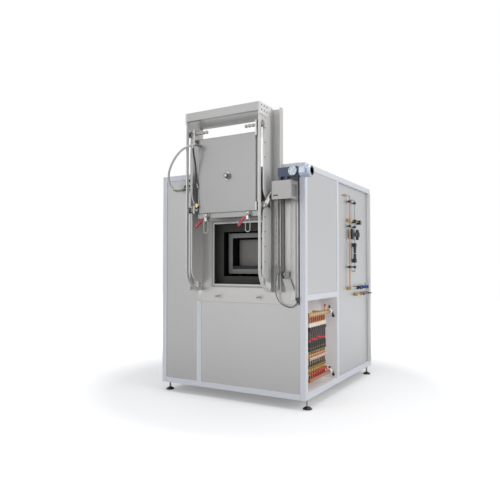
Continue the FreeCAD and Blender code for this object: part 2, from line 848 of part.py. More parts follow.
def make_door_panel():
    flange = box(door_left, door_right, -door_front, door_back, door_bottom, door_top)
    x0 = throat_centre_x - cover_width / 2
    cover = box(x0, x0 + cover_width, cover_front, -door_front,
                door_bottom + cover_bottom_margin, door_top - cover_top_margin)
    edges = [edge for edge in cover.Edges if abs(edge.CenterOfMass.y - cover_front) < 0.1]
    cover = cover.makeChamfer(3.0, edges)
    return group([flange, cover])


def make_door_insulation():
    half_x = throat_width / 2 - plug_clearance
    half_z = throat_height / 2 - plug_clearance
    x = throat_centre_x
    z = door_centre_z
    plug = box(x - half_x, x + half_x, door_back, door_back + plug_depth, z - half_z, z + half_z)
    edges = [edge for edge in plug.Edges if abs(edge.CenterOfMass.y - door_back - plug_depth) < 0.1]
    return plug.makeChamfer(8.0, edges)


def roller_axle(side, z, inner_reach, outer_extra):
    # side is +1 at the right guide plate and -1 at the left one
    plate = guide_right if side > 0 else guide_left
    door_edge = door_right if side > 0 else door_left
    outer = plate + side * (guide_thickness + side_play)
    end = outer + side * (axle_washer_thickness + outer_extra)
    inner = door_edge - side * inner_reach
    span = sorted([inner, end])
    shaft = rod_x(span[0], span[1], slot_y, z, axle_diameter)
    washer_span = sorted([outer, outer + side * axle_washer_thickness])
    washer = rod_x(washer_span[0], washer_span[1], slot_y, z, axle_washer_diameter)
    collar_start = door_edge + side * bracket_thickness
    collar_end = plate + side * ((guide_thickness - roller_width) / 2 - side_play)
    collar_span = sorted([collar_start, collar_end])
    collar = rod_x(collar_span[0], collar_span[1], slot_y, z, axle_diameter * 1.5)
    pieces = [washer, collar]
    for ring_start in range(0, int(inner_reach), axle_ring_pitch):
        a = door_edge - side * ring_start
        ring_span = sorted([a, a - side * axle_ring_width])
        pieces.append(rod_x(ring_span[0], ring_span[1], slot_y, z, axle_diameter * 1.5))
    return shaft.fuse(pieces)


def make_roller_brackets():
    solids = []
    for side in [-1, 1]:
        door_edge = door_right if side > 0 else door_left
        span = sorted([door_edge, door_edge + side * bracket_thickness])
        for z in [lower_roller_z, upper_roller_z]:
            is_upper = z > door_centre_z
            low = z - bracket_width * (1.4 if is_upper else 0.5)
            plate = box(span[0], span[1], slot_y - bracket_width / 2, door_back, low, z + bracket_width / 2)
            inner_reach = upper_axle_reach if is_upper else lower_axle_reach
            carries_link = side > 0 and not is_upper
            outer_extra = link_eye_width + 14 if carries_link else 10
            solids.append(plate.fuse(roller_axle(side, z, inner_reach, outer_extra)).removeSplitter())
    return group(solids)


def make_rollers(z):
    solids = []
    for side in [-1, 1]:
        plate = guide_right if side > 0 else guide_left
        middle = plate + side * guide_thickness / 2
        wheel = rod_x(middle - roller_width / 2, middle + roller_width / 2, slot_y, z, roller_diameter)
        edges = [edge for edge in wheel.Edges if edge.Curve.TypeId == "Part::GeomCircle"]
        wheel = wheel.makeChamfer(1.0, edges)
        bore = rod_x(middle - roller_width, middle + roller_width, slot_y, z, axle_diameter + 2 * roller_fit)
        solids.append(wheel.cut(bore))
    return group(solids)


def make_door_fittings():
    x = throat_centre_x + port_offset_x
    z = door_centre_z
    disc = rod_y(x, cover_front - port_height * 0.4, cover_front, z, port_diameter)
    boss = rod_y(x, cover_front - port_height, cover_front - port_height * 0.4, z, port_diameter * 0.7)
    stub = rod_y(x, cover_front - port_height - port_stub_height, cover_front - port_height, z,
                 port_stub_diameter)
    solids = [disc.fuse([boss, stub]).removeSplitter(), hose_tee(), drop_elbow()]
    y = -door_front - coupling_diameter / 2 - 1
    low = Vector(door_left + 10, y, coupling_z - coupling_half_rise)
    high = Vector(door_left + 10 - coupling_half_length, y, coupling_z + coupling_half_rise)
    foot = rod_y(low.x, y, -door_front, low.z + coupling_diameter / 4, coupling_diameter * 0.7)
    solids.append(rod_between(low, high, coupling_diameter).fuse(foot).removeSplitter())
    return group(solids)


def nipple_behind(route, length, diameter):
    # a nipple that runs straight into the start of a hose, and the place where it comes from
    heading = (route[1] - route[0]).normalize()
    hub = route[0] - heading * length
    return rod_between(hub, route[0], diameter), hub


def hose_tee():
    # a stem straight out of the cover with the grey hose to the side and the black hose below
    nipple, hub = nipple_behind(grey_hose_route, hose_nipple_length, grey_hose_diameter)
    stem = rod_y(hub.x, hub.y - hose_stem_diameter / 2, cover_front, hub.z, hose_stem_diameter)
    along = (grey_hose_route[0] - hub).normalize()
    nut = rod_between(hub + along * 12, hub + along * 26, hose_nut_diameter)
    branch, branch_hub = nipple_behind(black_hose_route, drop_nipple_length, black_hose_diameter)
    return stem.fuse([nipple, nut, branch]).removeSplitter()


def drop_elbow():
    # the lower end of the black hose, on a stem out of the flange
    nipple, hub = nipple_behind(black_hose_route[::-1], drop_nipple_length, black_hose_diameter)
    stem = rod_y(hub.x, hub.y - drop_stem_diameter / 2, -door_front, hub.z, drop_stem_diameter)
    return stem.fuse(nipple).removeSplitter()


def make_clamp_bases():
    solids = []
    y = clamp_pivot_y
    z = clamp_pivot_z
    half_gap = clamp_cheek_gap / 2
    radius = clamp_pin_diameter * 1.75
    foot_half = half_gap + clamp_cheek + clamp_foot_edge
    foot_y = -door_front - clamp_foot_thickness
    for x in [clamp_left_x, clamp_right_x]:
        foot = box(x - foot_half, x + foot_half, foot_y, -door_front, z - radius, z + radius)
        parts = []
        for x0 in [x - half_gap - clamp_cheek, x + half_gap]:
            web = box(x0, x0 + clamp_cheek, y, foot_y, z - radius, z + radius)
            parts.append(web.fuse(rod_x(x0, x0 + clamp_cheek, y, z, 2 * radius)))
        pin_half = half_gap + clamp_cheek + 2
        parts.append(rod_x(x - pin_half, x + pin_half, y, z, clamp_pin_diameter))
        solids.append(foot.fuse(parts).removeSplitter())
    return group(solids)


def make_clamp_handle(x):
    pivot_y = clamp_pivot_y
    pivot_z = clamp_pivot_z
    wide = clamp_cheek_gap - 1.0
    slope = math.radians(handle_slope)
    along = Vector(0, -math.cos(slope), -math.sin(slope))
    pivot = Vector(x, pivot_y, pivot_z)
    hub = rod_x(x - wide / 2, x + wide / 2, pivot_y, pivot_z, clamp_pin_diameter * 2.6)
    drop = box(x - wide / 2, x + wide / 2, pivot_y - clamp_pin_diameter, pivot_y + clamp_pin_diameter,
               pivot_z - clamp_throw, pivot_z)
    eye = rod_x(x - wide / 2, x + wide / 2, pivot_y, pivot_z - clamp_throw, clamp_pin_diameter * 2)
    pin_half = bail_width / 2 + bail_rod_diameter / 2
    pin = rod_x(x - pin_half, x + pin_half, pivot_y, pivot_z - clamp_throw, clamp_pin_diameter)
    grip_start = pivot + along * (handle_length - handle_grip_length)
    lever = rod_between(pivot, grip_start, clamp_pin_diameter * 1.6)
    grip = rod_between(grip_start, pivot + along * handle_length, handle_grip_diameter)
    knob = Part.makeSphere(handle_grip_diameter / 2, pivot + along * handle_length)
    body = hub.fuse([drop, eye, lever, grip, knob])
    bore = rod_x(x - wide, x + wide, pivot_y, pivot_z, clamp_pin_diameter + 2 * clamp_pin_fit)
    return body.cut(bore).fuse(pin).removeSplitter()


def make_clamp_bail(x):
    pivot_y = clamp_pivot_y
    pivot_z = clamp_pivot_z - clamp_throw
    radius = bail_width / 2
    bottom = pivot_z - bail_length + radius
    parts = []
    for leg_x in [x - radius, x + radius]:
        eye = rod_x(leg_x - bail_rod_diameter / 2, leg_x + bail_rod_diameter / 2, pivot_y, pivot_z,
                    clamp_pin_diameter * 2)
        leg = rod_z(leg_x, pivot_y, bottom, pivot_z - clamp_pin_diameter * 0.7, bail_rod_diameter)
        parts.append(eye.fuse(leg))
    bow = Part.makeTorus(radius, bail_rod_diameter / 2, Vector(x, pivot_y, bottom), Vector(0, 1, 0))
    bow = bow.common(box(x - 2 * radius, x + 2 * radius, pivot_y - radius, pivot_y + radius,
                         bottom - 2 * radius, bottom))
    bail = parts[0].fuse([parts[1], bow])
    bore = rod_x(x - bail_width, x + bail_width, pivot_y, pivot_z, clamp_pin_diameter + 2 * clamp_pin_fit)
    return bail.cut(bore)


def make_sprocket(z, shaft_span):
    pitch_radius = sprocket_pitch_diameter / 2
    outer = sprocket_pitch_diameter + 5
    wheel = rod_x(chain_x - sprocket_width / 2, chain_x + sprocket_width / 2, chain_y, z, outer)
    notches = []
    for tooth in range(sprocket_teeth):
        angle = 2 * math.pi * (tooth + 0.5) / sprocket_teeth
        y = chain_y + pitch_radius * math.cos(angle)
        notch_z = z + pitch_radius * math.sin(angle)
        notches.append(rod_x(chain_x - sprocket_width, chain_x + sprocket_width, y, notch_z,
                             chain_roller_diameter + 0.6))
    wheel = wheel.cut(Part.makeCompound(notches))
    shaft = rod_x(shaft_span[0], shaft_span[1], chain_y, z, sprocket_shaft_diameter)
    hub = rod_x(chain_x - 14, chain_x + 14, chain_y, z, 2 * sprocket_shaft_diameter)
    return wheel.fuse([shaft, hub]).removeSplitter()


def make_lift_chain():
    radius = sprocket_pitch_diameter / 2
    outer = radius + chain_band_width / 2
    inner = radius - chain_band_width / 2
    z0 = sprocket_bottom_z
    z1 = sprocket_top_z
    gap = sprocket_width / 2 + chain_side_gap
    parts = []
    for x0 in [chain_x - gap - chain_band_thickness, chain_x + gap]:
        x1 = x0 + chain_band_thickness
        loop = box(x0, x1, chain_y - outer, chain_y + outer, z0, z1)
        loop = loop.fuse([rod_x(x0, x1, chain_y, z0, 2 * outer), rod_x(x0, x1, chain_y, z1, 2 * outer)])
        hole = box(x0, x1, chain_y - inner, chain_y + inner, z0, z1)
        hole = hole.fuse([rod_x(x0, x1, chain_y, z0, 2 * inner), rod_x(x0, x1, chain_y, z1, 2 * inner)])
        parts.append(loop.cut(hole))
    half_roller = chain_roller_diameter / 2
    for y in [chain_y - radius, chain_y + radius]:
        parts.append(box(chain_x - gap, chain_x + gap, y - half_roller, y + half_roller,
                         z0 + outer, z1 - outer))
    return parts[0].fuse(parts[1:]).removeSplitter()


def make_lift_link():
    return group([lift_carriage(), door_link()])


def lift_carriage():
    rail_front = -post_wall - rail_height
    cap_front = rail_front - carriage_cap
    x0 = rail_left + rail_width / 2 - carriage_width / 2
    x1 = x0 + carriage_width
    z = link_pin_z
    z0 = z - carriage_height / 2
    z1 = z + carriage_height / 2
    block = box(x0, x1, cap_front, rail_front + carriage_grip, z0, z1)
    groove = box(rail_left - carriage_play, rail_left + rail_width + carriage_play,
                 rail_front - carriage_play, rail_front + carriage_grip, z0, z1)
    chain_back = chain_y + sprocket_pitch_diameter / 2 + chain_band_width / 2 + 0.5
    arm = box(x1 - carriage_width / 3, chain_x + chain_arm_reach, chain_back, cap_front,
              z - chain_arm_height / 2, z + chain_arm_height / 2)
    lug_x = link_x + link_eye_width + side_play
    lug_size = 2.25 * link_pin_diameter
    lug = box(lug_x, lug_x + link_eye_width / 2, link_pin_y, cap_front, z - lug_size / 2, z + lug_size / 2)
    lug = lug.fuse(rod_x(lug_x, lug_x + link_eye_width / 2, link_pin_y, z, lug_size))
    pin = rod_x(link_x - 2, lug_x, link_pin_y, z, link_pin_diameter)
    return block.cut(groove).fuse([arm, lug, pin]).removeSplitter()


def door_link():
    low = Vector(link_x + link_eye_width / 2, slot_y, lower_roller_z)
    high = Vector(link_x + link_eye_width / 2, link_pin_y, link_pin_z)
    along = (high - low).normalize()
    body = rod_between(low, high, link_body_diameter)
    for step in range(link_rib_count):
        centre = low + along * (link_rib_start + link_rib_pitch * step)
        body = body.fuse(rod_between(centre, centre + along * link_rib_width, link_rib_diameter))
    x0 = link_x
    x1 = link_x + link_eye_width
    body = body.common(box(x0, x1, -2 * guide_reach, 0, 0, tower_top))
    link = body.fuse([rod_x(x0, x1, slot_y, lower_roller_z, link_eye_diameter),
                      rod_x(x0, x1, link_pin_y, link_pin_z, link_eye_diameter)])
    link = link.cut(rod_x(x0 - 1, x1 + 1, slot_y, lower_roller_z, axle_diameter + 2 * link_bore_fit))
    link = link.cut(rod_x(x0 - 1, x1 + 1, link_pin_y, link_pin_z, link_pin_diameter + 2 * link_bore_fit))
    return link.removeSplitter()


def make_drive_box():
    x0 = drive_box_left
    x1 = drive_box_right
    z0 = drive_box_bottom
    z1 = drive_box_top
    wall = drive_box_wall
    inner_front = -drive_box_front + wall
    post_side = guide_right + guide_thickness + post_width + panel_gap
    front = box(x0, x1, -drive_box_front, inner_front, z0, z1)
    left = box(x0, x0 + wall, inner_front, -drive_box_rear_gap, z0, z1)
    right = box(x1 - wall, x1, inner_front, 0, z0, z1)
    top = box(x0 + wall, x1 - wall, inner_front, -drive_box_rear_gap, z1 - wall, z1)
    top_rear = box(post_side, x1 - wall, -drive_box_rear_gap, 0, z1 - wall, z1)
    bearing = rod_x(x0 + wall, x0 + wall + bearing_length, chain_y, sprocket_top_z, bearing_diameter)
    case = box(x1 - wall - bevel_case, x1 - wall, chain_y - bevel_case / 2, chain_y + bevel_case / 2,
               sprocket_top_z - bevel_case / 2, sprocket_top_z + bevel_case / 2)
    shell = front.fuse([left, right, top, top_rear, bearing, case]).removeSplitter()
    return shell.cut(rod_x(x0 + wall, x1 - wall - bevel_case + bearing_length, chain_y, sprocket_top_z,
                           sprocket_shaft_bore))


def make_gearbox():
    x0 = gear_left
    x1 = x0 + worm_block_length
    x2 = x1 + gear_block_length
    y0 = motor_y - worm_block_depth / 2
    y1 = motor_y + worm_block_depth / 2
    z0 = motor_z - worm_block_height / 2 + worm_block_lift
    worm = box(x0, x1, y0, y1, z0, z0 + worm_block_height)
    corners = [edge for edge in worm.Edges if edge.Length < worm_block_depth + 1
               and abs(edge.CenterOfMass.y - motor_y) < 1]
    worm = worm.makeFillet(worm_corner_radius, corners)
    gear_z = motor_z + gear_block_lift
    block = box(x1, x2, motor_y - gear_block_depth / 2, motor_y + gear_block_depth / 2,
                gear_z - gear_block_height / 2, gear_z + gear_block_height / 2)
    y_front = motor_y - gear_block_depth / 2
    cover = rod_y(x1 + gear_block_length * 0.6, y_front - gear_cover_height, y_front, gear_z,
                  gear_cover_diameter)
    adapter = rod_x(x2, x2 + adapter_length, motor_y, motor_z, adapter_diameter)
    spindle = rod_z((x0 + x1) / 2, motor_y, drive_box_top, z0, gear_spindle_diameter)
    legs = []
    for x in [x0 + worm_corner_radius, x1 - worm_corner_radius - gear_leg_width]:
        legs.append(box(x, x + gear_leg_width, y0, y1, drive_box_top, z0))
    return worm.fuse([block, cover, adapter, spindle] + legs).removeSplitter()


def make_drive_motor():
    stator = rod_x(motor_left, motor_left + motor_length, motor_y, motor_z, motor_diameter * 0.88)
    fins = []
    for step in range(motor_fin_count):
        fin = box(motor_left + motor_fin_margin, motor_left + motor_length - motor_fin_margin,
                  -motor_fin_thickness / 2, motor_fin_thickness / 2, 0, motor_diameter / 2)
        fin.rotate(Vector(0, 0, 0), Vector(1, 0, 0), 360.0 / motor_fin_count * step)
        fin.translate(Vector(0, motor_y, motor_z))
        fins.append(fin)
    cowl = rod_x(motor_left + motor_length, motor_end, motor_y, motor_z, cowl_diameter)
    rim = [edge for edge in cowl.Edges if edge.BoundBox.XMin > motor_end - 0.1]
    cowl = cowl.makeFillet(worm_corner_radius, rim)
    terminal_x = motor_left + 1.5 * motor_fin_margin
    terminal = box(terminal_x, terminal_x + terminal_length, motor_y - motor_diameter / 2 - terminal_reach,
                   motor_y - motor_diameter * 0.35,
                   motor_z - terminal_height / 2, motor_z + terminal_height / 2)
    return stator.fuse(fins + [cowl, terminal]).removeSplitter()


def make_cable_duct():
    duct = box(duct_left, duct_left + duct_width, -duct_depth, 0, duct_bottom, duct_top)
    duct = duct.cut(box(duct_left + sheet, duct_left + duct_width - sheet, -duct_depth + sheet, 0,
                        duct_bottom, duct_top))
    half_box = switch_size / 2
    gland, hub = nipple_behind(cable_route, gland_length, gland_diameter)
    post_side = guide_right + guide_thickness + post_width
    switch = box(hub.x - half_box, post_side, hub.y - half_box, -post_depth,
                 hub.z - 1, hub.z + switch_height)
    switch = switch.fuse(gland)
    low_gland, low_hub = nipple_behind(cable_route[::-1], gland_length, gland_diameter)
    socket = box(low_hub.x - half_box, low_hub.x + half_box, low_hub.y - half_box, 0,
                 low_hub.z - 1, low_hub.z + socket_height)
    socket = socket.fuse(low_gland)
    return group([duct, switch.removeSplitter(), socket.removeSplitter()])


def make_tension_bracket():
    z = sprocket_bottom_z
    half_gap = tension_cheek_gap / 2
    half_base = tension_base_size / 2
    cheek_size = bearing_diameter
    base = box(chain_x - half_base, chain_x + half_base, -tension_base, 0, z - half_base, z + half_base)
    parts = []
    for x0 in [chain_x - half_gap - tension_cheek, chain_x + half_gap]:
        cheek = box(x0, x0 + tension_cheek, chain_y, -tension_base, z - cheek_size / 2, z + cheek_size / 2)
        parts.append(cheek.fuse(rod_x(x0, x0 + tension_cheek, chain_y, z, cheek_size)))
    bracket = base.fuse(parts).removeSplitter()
    bracket = bracket.cut(rod_x(chain_x - tension_base_size, chain_x + tension_base_size, chain_y, z,
                                sprocket_shaft_bore))
    return group([bracket, chain_guard()])


def chain_guard():
    # a slanting plate under the lower sprocket, on two spacers
    back = -guard_standoff
    front = back - guard_thickness
    top = sprocket_bottom_z - guard_drop
    bottom = top - guard_height
    x0 = chain_x - guard_width / 2
    x1 = x0 + guard_width
    guard = plate_xz([(x0, top), (x1, top), (x1 + guard_slant, bottom), (x0 + guard_slant, bottom)],
                     front, back)
    upper = rod_y(chain_x + 10, back, 0, top - 0.25 * guard_height, gland_diameter)
    lower = rod_y(chain_x + 24, back, 0, bottom + 0.2 * guard_height, gland_diameter)
    bolt = rod_y(chain_x + 36, front - 6, front, top - 0.3 * guard_height, gland_diameter)
    return guard.fuse([upper, lower, bolt]).removeSplitter()


def circuit_column(y):
    cap_top = supply_z - column_neck
    cap_bottom = supply_z - column_cap
    column = rod_z(manifold_x, y, cap_top, supply_z, circuit_spindle_diameter)
    cap = rod_z(manifold_x, y, cap_bottom, cap_top, circuit_spindle_diameter * 1.9)
    nut = rod_z(manifold_x, y, flow_tube_top, cap_bottom, circuit_spindle_diameter * 2.2)
    return column.fuse([cap, nut])


def bar_holders(ys, z, bar):
    back = half - tube - bay_depth
    return [rod_x(back, manifold_x, y, z, bar_standoff).cut(bar) for y in ys]


def make_supply_manifold():
    first = circuits_y[0] - bar_front_end
    last = circuits_y[-1] + bar_rear_end
    bar = rod_y(manifold_x, first, last, supply_z, supply_diameter)
    valve = rod_y(manifold_x, last, last + end_valve_length, supply_z, supply_diameter * 1.25)
    stem = rod_z(manifold_x, last + end_valve_length / 2, supply_z, supply_z + end_valve_rise,
                 end_valve_stem)
    vent = rod_z(manifold_x, circuits_y[-1] + vent_offset, supply_z, supply_z + vent_rise,
                 circuit_spindle_diameter)
    solids = [bar, valve.fuse(stem).removeSplitter(), vent.cut(bar)]
    for y in circuits_y:
        solids.append(circuit_column(y).cut(bar).removeSplitter())
    holders_y = [circuits_y[0] - 0.65 * bar_front_end, circuits_y[-1] + bar_front_end]
    return group(solids + bar_holders(holders_y, supply_z, bar))


def make_flow_meters():
    solids = []
    for y in circuits_y:
        glass = rod_z(manifold_x, y, flow_tube_bottom, flow_tube_top, flow_tube_diameter)
        lower = rod_z(manifold_x, y, flow_tube_bottom - flow_fitting_length, flow_tube_bottom,
                      flow_tube_diameter * 1.2)
        solids.append(glass.fuse(lower).removeSplitter())
    return group(solids)


def make_return_manifold():
    first = circuits_y[0] - bar_front_end / 2
    last = circuits_y[-1] + bar_rear_end
    bar = rod_y(manifold_x, first, last, return_z, return_diameter)
    middle = rod_y(manifold_x, first, circuits_y[-1] + bar_front_end, middle_bar_z, middle_bar_diameter)
    valve = rod_y(manifold_x, last, last + end_valve_length, return_z, return_diameter * 1.3)
    stem = rod_z(manifold_x, last + end_valve_length / 2, return_z, return_z + end_valve_rise,
                 end_valve_stem)
    solids = [bar, middle, valve.fuse(stem).removeSplitter()]
    top = flow_tube_bottom - flow_fitting_length
    size = lever_valve_size
    for y in circuits_y:
        riser = rod_z(manifold_x, y, middle_bar_z, top, circuit_spindle_diameter)
        nut = rod_z(manifold_x, y, top - check_nut_length, top, circuit_spindle_diameter * 2)
        solids.append(riser.fuse(nut).cut(middle).removeSplitter())
        drop = rod_z(manifold_x, y, return_z, middle_bar_z, circuit_spindle_diameter)
        union = rod_z(manifold_x, y, lever_z + union_rise, lever_z + union_top,
                      circuit_spindle_diameter * 1.8)
        body = box(manifold_x - size / 2, manifold_x + size / 2, y - size / 2, y + size / 2,
                   lever_z - size / 2, lever_z + size / 2)
        pin = rod_x(manifold_x + size / 2, manifold_x + size / 2 + lever_stem_length, y, lever_z,
                    lever_stem_diameter)
        solids.append(drop.fuse([union, body, pin]).cut(bar.fuse(middle)).removeSplitter())
    holders_y = [circuits_y[0] - bar_front_end / 4, circuits_y[-1] + 0.75 * bar_front_end]
    holders = bar_holders(holders_y, return_z, bar) + bar_holders(holders_y, middle_bar_z, middle)
    return group(solids + holders)


def valve_lever(x0, y, z, length):
    # a flat lever that points up from its boss; the stem runs through the boss along X
    boss = rod_x(x0, x0 + lever_boss_length, y, z, lever_boss_diameter)
    arm_x = x0 + lever_boss_length - lever_thickness
    arm = box(arm_x, x0 + lever_boss_length, y - lever_width / 2, y + lever_width / 2, z, z + length)
    tip = rod_x(arm_x, x0 + lever_boss_length, y, z + length, lever_width)
    lever = boss.fuse([arm, tip]).removeSplitter()
    return lever.cut(rod_x(x0 - 1, x0 + 2 * lever_boss_length, y, z, lever_stem_diameter + 2 * lever_fit))


def make_circuit_lever(y):
    lever = valve_lever(manifold_x + lever_valve_size / 2 + side_play, y, lever_z, lever_length)
    lever.rotate(Vector(0, y, lever_z), Vector(1, 0, 0), 180 + lever_lean)
    return lever


def bent_tube(points, diameter):
    # straight lengths of tube with round elbows between them
    parts = [rod_between(start, end, diameter) for start, end in zip(points, points[1:])]
    parts += [Part.makeSphere(diameter / 2, corner) for corner in points[1:-1]]
    return parts[0].fuse(parts[1:]).removeSplitter()


def make_gas_lines():
    x = gas_line_x
    copper_turn_y = copper_y - copper_head_reach
    copper = [Vector(gas_face, copper_turn_y, copper_top), Vector(x, copper_turn_y, copper_top),
              Vector(x, copper_y, copper_top), Vector(x, copper_y, gas_feed_z + gas_row_block / 2)]
    steel_turn_y = steel_y - steel_head_reach
    steel = [Vector(gas_face, steel_turn_y, steel_top), Vector(x, steel_turn_y, steel_top),
             Vector(x, steel_y, steel_top), Vector(x, steel_y, steel_bottom),
             Vector(gas_face, steel_y, steel_bottom)]
    return group([bent_tube(copper, gas_tube_diameter), bent_tube(steel, gas_tube_diameter)])


def make_gas_valves():
    return group(gas_clamps() + gas_cross() + pressure_regulators() + [rotameter()] + gas_feed_row()
                 + gas_supply_row())


def gas_clamps():
    solids = []
    for y in [copper_y, steel_y]:
        for z in [gas_clamp_high_z, gas_clamp_middle_z, gas_clamp_low_z]:
            low = z - gas_clamp_height / 2
            high = z + gas_clamp_height / 2
            ring = rod_z(gas_line_x, y, low, high, gas_clamp_diameter)
            holder = ring.fuse(rod_x(gas_face, gas_line_x, y, z, gas_clamp_stem)).removeSplitter()
            solids.append(holder.cut(rod_z(gas_line_x, y, low, high, gas_tube_diameter)))
    return solids


def gas_cross():
    # a branch from the copper line to the steel line and on to a small gauge
    x = gas_line_x
    z = gas_cross_z
    half_tee = gas_tee_size / 2
    gauge_y = steel_y + gauge_offset
    return [tee_block(copper_y, z, gas_tee_size), tee_block(steel_y, z, gas_tee_size),
            rod_y(x, copper_y + half_tee, steel_y - half_tee, z, gas_branch_diameter),
            rod_y(x, steel_y + half_tee, gauge_y - gauge_diameter / 2 + 4, z, gas_branch_diameter),
            rod_x(gas_face, x + gauge_depth, gauge_y, z, gauge_diameter).cut(
                rod_y(x, steel_y, gauge_y - gauge_diameter / 2 + 4, z, gas_branch_diameter))]


def pressure_regulators():
    # they hang on a tube to either side of the steel line
    x = gas_line_x
    z = gas_reducer_z
    solids = [tee_block(steel_y, z, gas_tee_size)]
    for side in [-1, 1]:
        body = regulator(steel_y + side * reducer_offset, z)
        span = sorted([steel_y + side * gas_tee_size / 2, steel_y + side * reducer_offset])
        solids.append(body)
        solids.append(rod_y(x, span[0], span[1], z, gas_branch_diameter).cut(body))
    return solids


def tee_block(y, z, width):
    x = gas_line_x
    block = box(x - width / 2, x + width / 2, y - width / 2, y + width / 2, z - width / 2, z + width / 2)
    return block.cut(rod_z(x, y, z - width, z + width, gas_tube_diameter))


def regulator(y, z):
    x = gas_line_x
    half_body = reducer_height / 2
    body = rod_z(x, y, z - half_body, z + half_body, reducer_diameter)
    bonnet = Part.makeCone(reducer_diameter * 0.42, reducer_diameter * 0.27, reducer_bonnet_height,
                           Vector(x, y, z + half_body))
    knob = rod_z(x, y, z - half_body - reducer_knob_height, z - half_body, reducer_knob_diameter)
    return body.fuse([bonnet, knob]).removeSplitter()


def rotameter():
    x1 = gas_line_x + rotameter_reach
    y0 = steel_y - rotameter_width / 2
    y1 = steel_y + rotameter_width / 2
    low_top = rotameter_bottom + rotameter_block
    high_bottom = rotameter_top - rotameter_block
    low = box(gas_face, x1, y0, y1, rotameter_bottom, low_top)
    high = box(gas_face, x1, y0, y1, high_bottom, rotameter_top)
    glass = rod_z(gas_line_x, steel_y, low_top, high_bottom, rotameter_glass_diameter)
    body = low.fuse([glass, high]).removeSplitter()
    return body.cut(rod_z(gas_line_x, steel_y, rotameter_bottom, rotameter_top, gas_tube_diameter))


def row_valve(y, z):
    body = rod_y(gas_line_x, y - gas_valve_length / 2, y + gas_valve_length / 2, z, gas_valve_diameter)
    nut = rod_y(gas_line_x, y - gas_valve_length / 2 - gas_union_length, y - gas_valve_length / 2, z,
                gas_union_diameter)
    return body.fuse(nut).removeSplitter()


def row_tubes(first, last, z, fittings):
    # tube between the fittings of a row, and two stands that carry it off the panel
    line = rod_y(gas_line_x, first, last, z, gas_tube_diameter)
    line = line.fuse([rod_x(gas_face, gas_line_x, first + (last - first) * part, z, gas_stand_diameter)
                      for part in (0.15, 0.8)])
    return line.cut(Part.makeCompound(fittings)).Solids


def row_block(y, z):
    size = gas_row_block / 2
    return box(gas_line_x - size, gas_line_x + size, y - size, y + size, z - size, z + size)


def gas_feed_row():
    # from the foot of the copper line to the rear: a shut-off valve, the lever valve, a round valve
    z = gas_feed_z
    lever_valve = row_valve(gas_valve_y, z).fuse(
        rod_x(gas_line_x, gas_line_x + gas_valve_diameter / 2 + lever_stem_length, gas_valve_y, z,
              lever_stem_diameter))
    fittings = [row_block(copper_y, z), row_valve(gas_valve_y - black_valve_lead, z), lever_valve,
                row_valve(gas_valve_y + round_valve_lag, z)]
    return fittings + row_tubes(copper_y, gas_valve_y + round_valve_lag, z, fittings)


def gas_supply_row():
    # a lower row that ends in the supply nipple, which points out to the side
    z = gas_supply_z
    y = gas_inlet_y
    nipple = rod_x(gas_line_x, gas_line_x + gas_row_block / 2 + gas_inlet_length, y, z, gas_inlet_diameter)
    fittings = [row_block(y, z).fuse(nipple), row_valve(y - supply_row_reach / 2, z),
                row_block(y - supply_row_reach, z)]
    return fittings + row_tubes(y - supply_row_reach, y, z, fittings)


def make_gas_lever():
    return valve_lever(gas_line_x + gas_valve_diameter / 2 + side_play, gas_valve_y, gas_feed_z,
                       gas_valve_lever_length)


def make_vacuum_line():
    # the suction pipe leaves the vessel's back, turns down into a cold trap and runs to the rear
    x = throat_centre_x
    inner = suction_bore_diameter
    outer = inner + 2 * suction_pipe_wall
    straight_end = trap_y - suction_bend_radius
    trap_top = throat_centre_z - suction_bend_radius
    run = rod_y(x, vessel_back, straight_end, throat_centre_z, outer)
    run = run.cut(rod_y(x, vessel_back, straight_end, throat_centre_z, inner))
    bend_centre = Vector(x, straight_end, trap_top)
    elbow = Part.makeTorus(suction_bend_radius, outer / 2, bend_centre, Vector(1, 0, 0))
    elbow = elbow.cut(Part.makeTorus(suction_bend_radius, inner / 2, bend_centre, Vector(1, 0, 0)))
    elbow = elbow.common(box(x - outer, x + outer, straight_end, trap_y + outer,
                             trap_top, throat_centre_z + outer))
    trap = rod_z(x, trap_y, trap_bottom, trap_top, 2 * trap_radius)
    domes = [edge for edge in trap.Edges if edge.Curve.TypeId == "Part::GeomCircle"]
    trap = trap.makeFillet(trap_dome, domes)
    tail = rod_y(x, trap_y, rear_end, suction_centre_z, outer)
    flange = rod_y(x, rear_end - suction_flange_thickness, rear_end, suction_centre_z,
                   suction_flange_diameter)
    bore = rod_y(x, rear_end - suction_bore_depth, rear_end, suction_centre_z, inner)
    tail = tail.fuse(flange).removeSplitter().cut(bore)
    tail = tail.cut(trap).cut(Part.makeCompound(suction_bolt_holes()))
    legs = []
    half_leg = trap_leg_width / 2
    for leg_x in [x - trap_leg_spacing / 2, x + trap_leg_spacing / 2]:
        leg = box(leg_x - half_leg, leg_x + half_leg, trap_beam_front, trap_y + half_leg,
                  inner_bottom, trap_leg_top)
        legs.append(leg.cut(trap))
    return group([run, elbow, trap, tail] + legs)


def suction_bolt_holes():
    holes = []
    for step in range(suction_bolt_count):
        angle = 2 * math.pi * (step + 0.5) / suction_bolt_count
        hole_x = throat_centre_x + suction_bolt_circle / 2 * math.cos(angle)
        hole_z = suction_centre_z + suction_bolt_circle / 2 * math.sin(angle)
        holes.append(rod_y(hole_x, rear_end - suction_flange_thickness, rear_end, hole_z, suction_bolt_hole))
    return holes


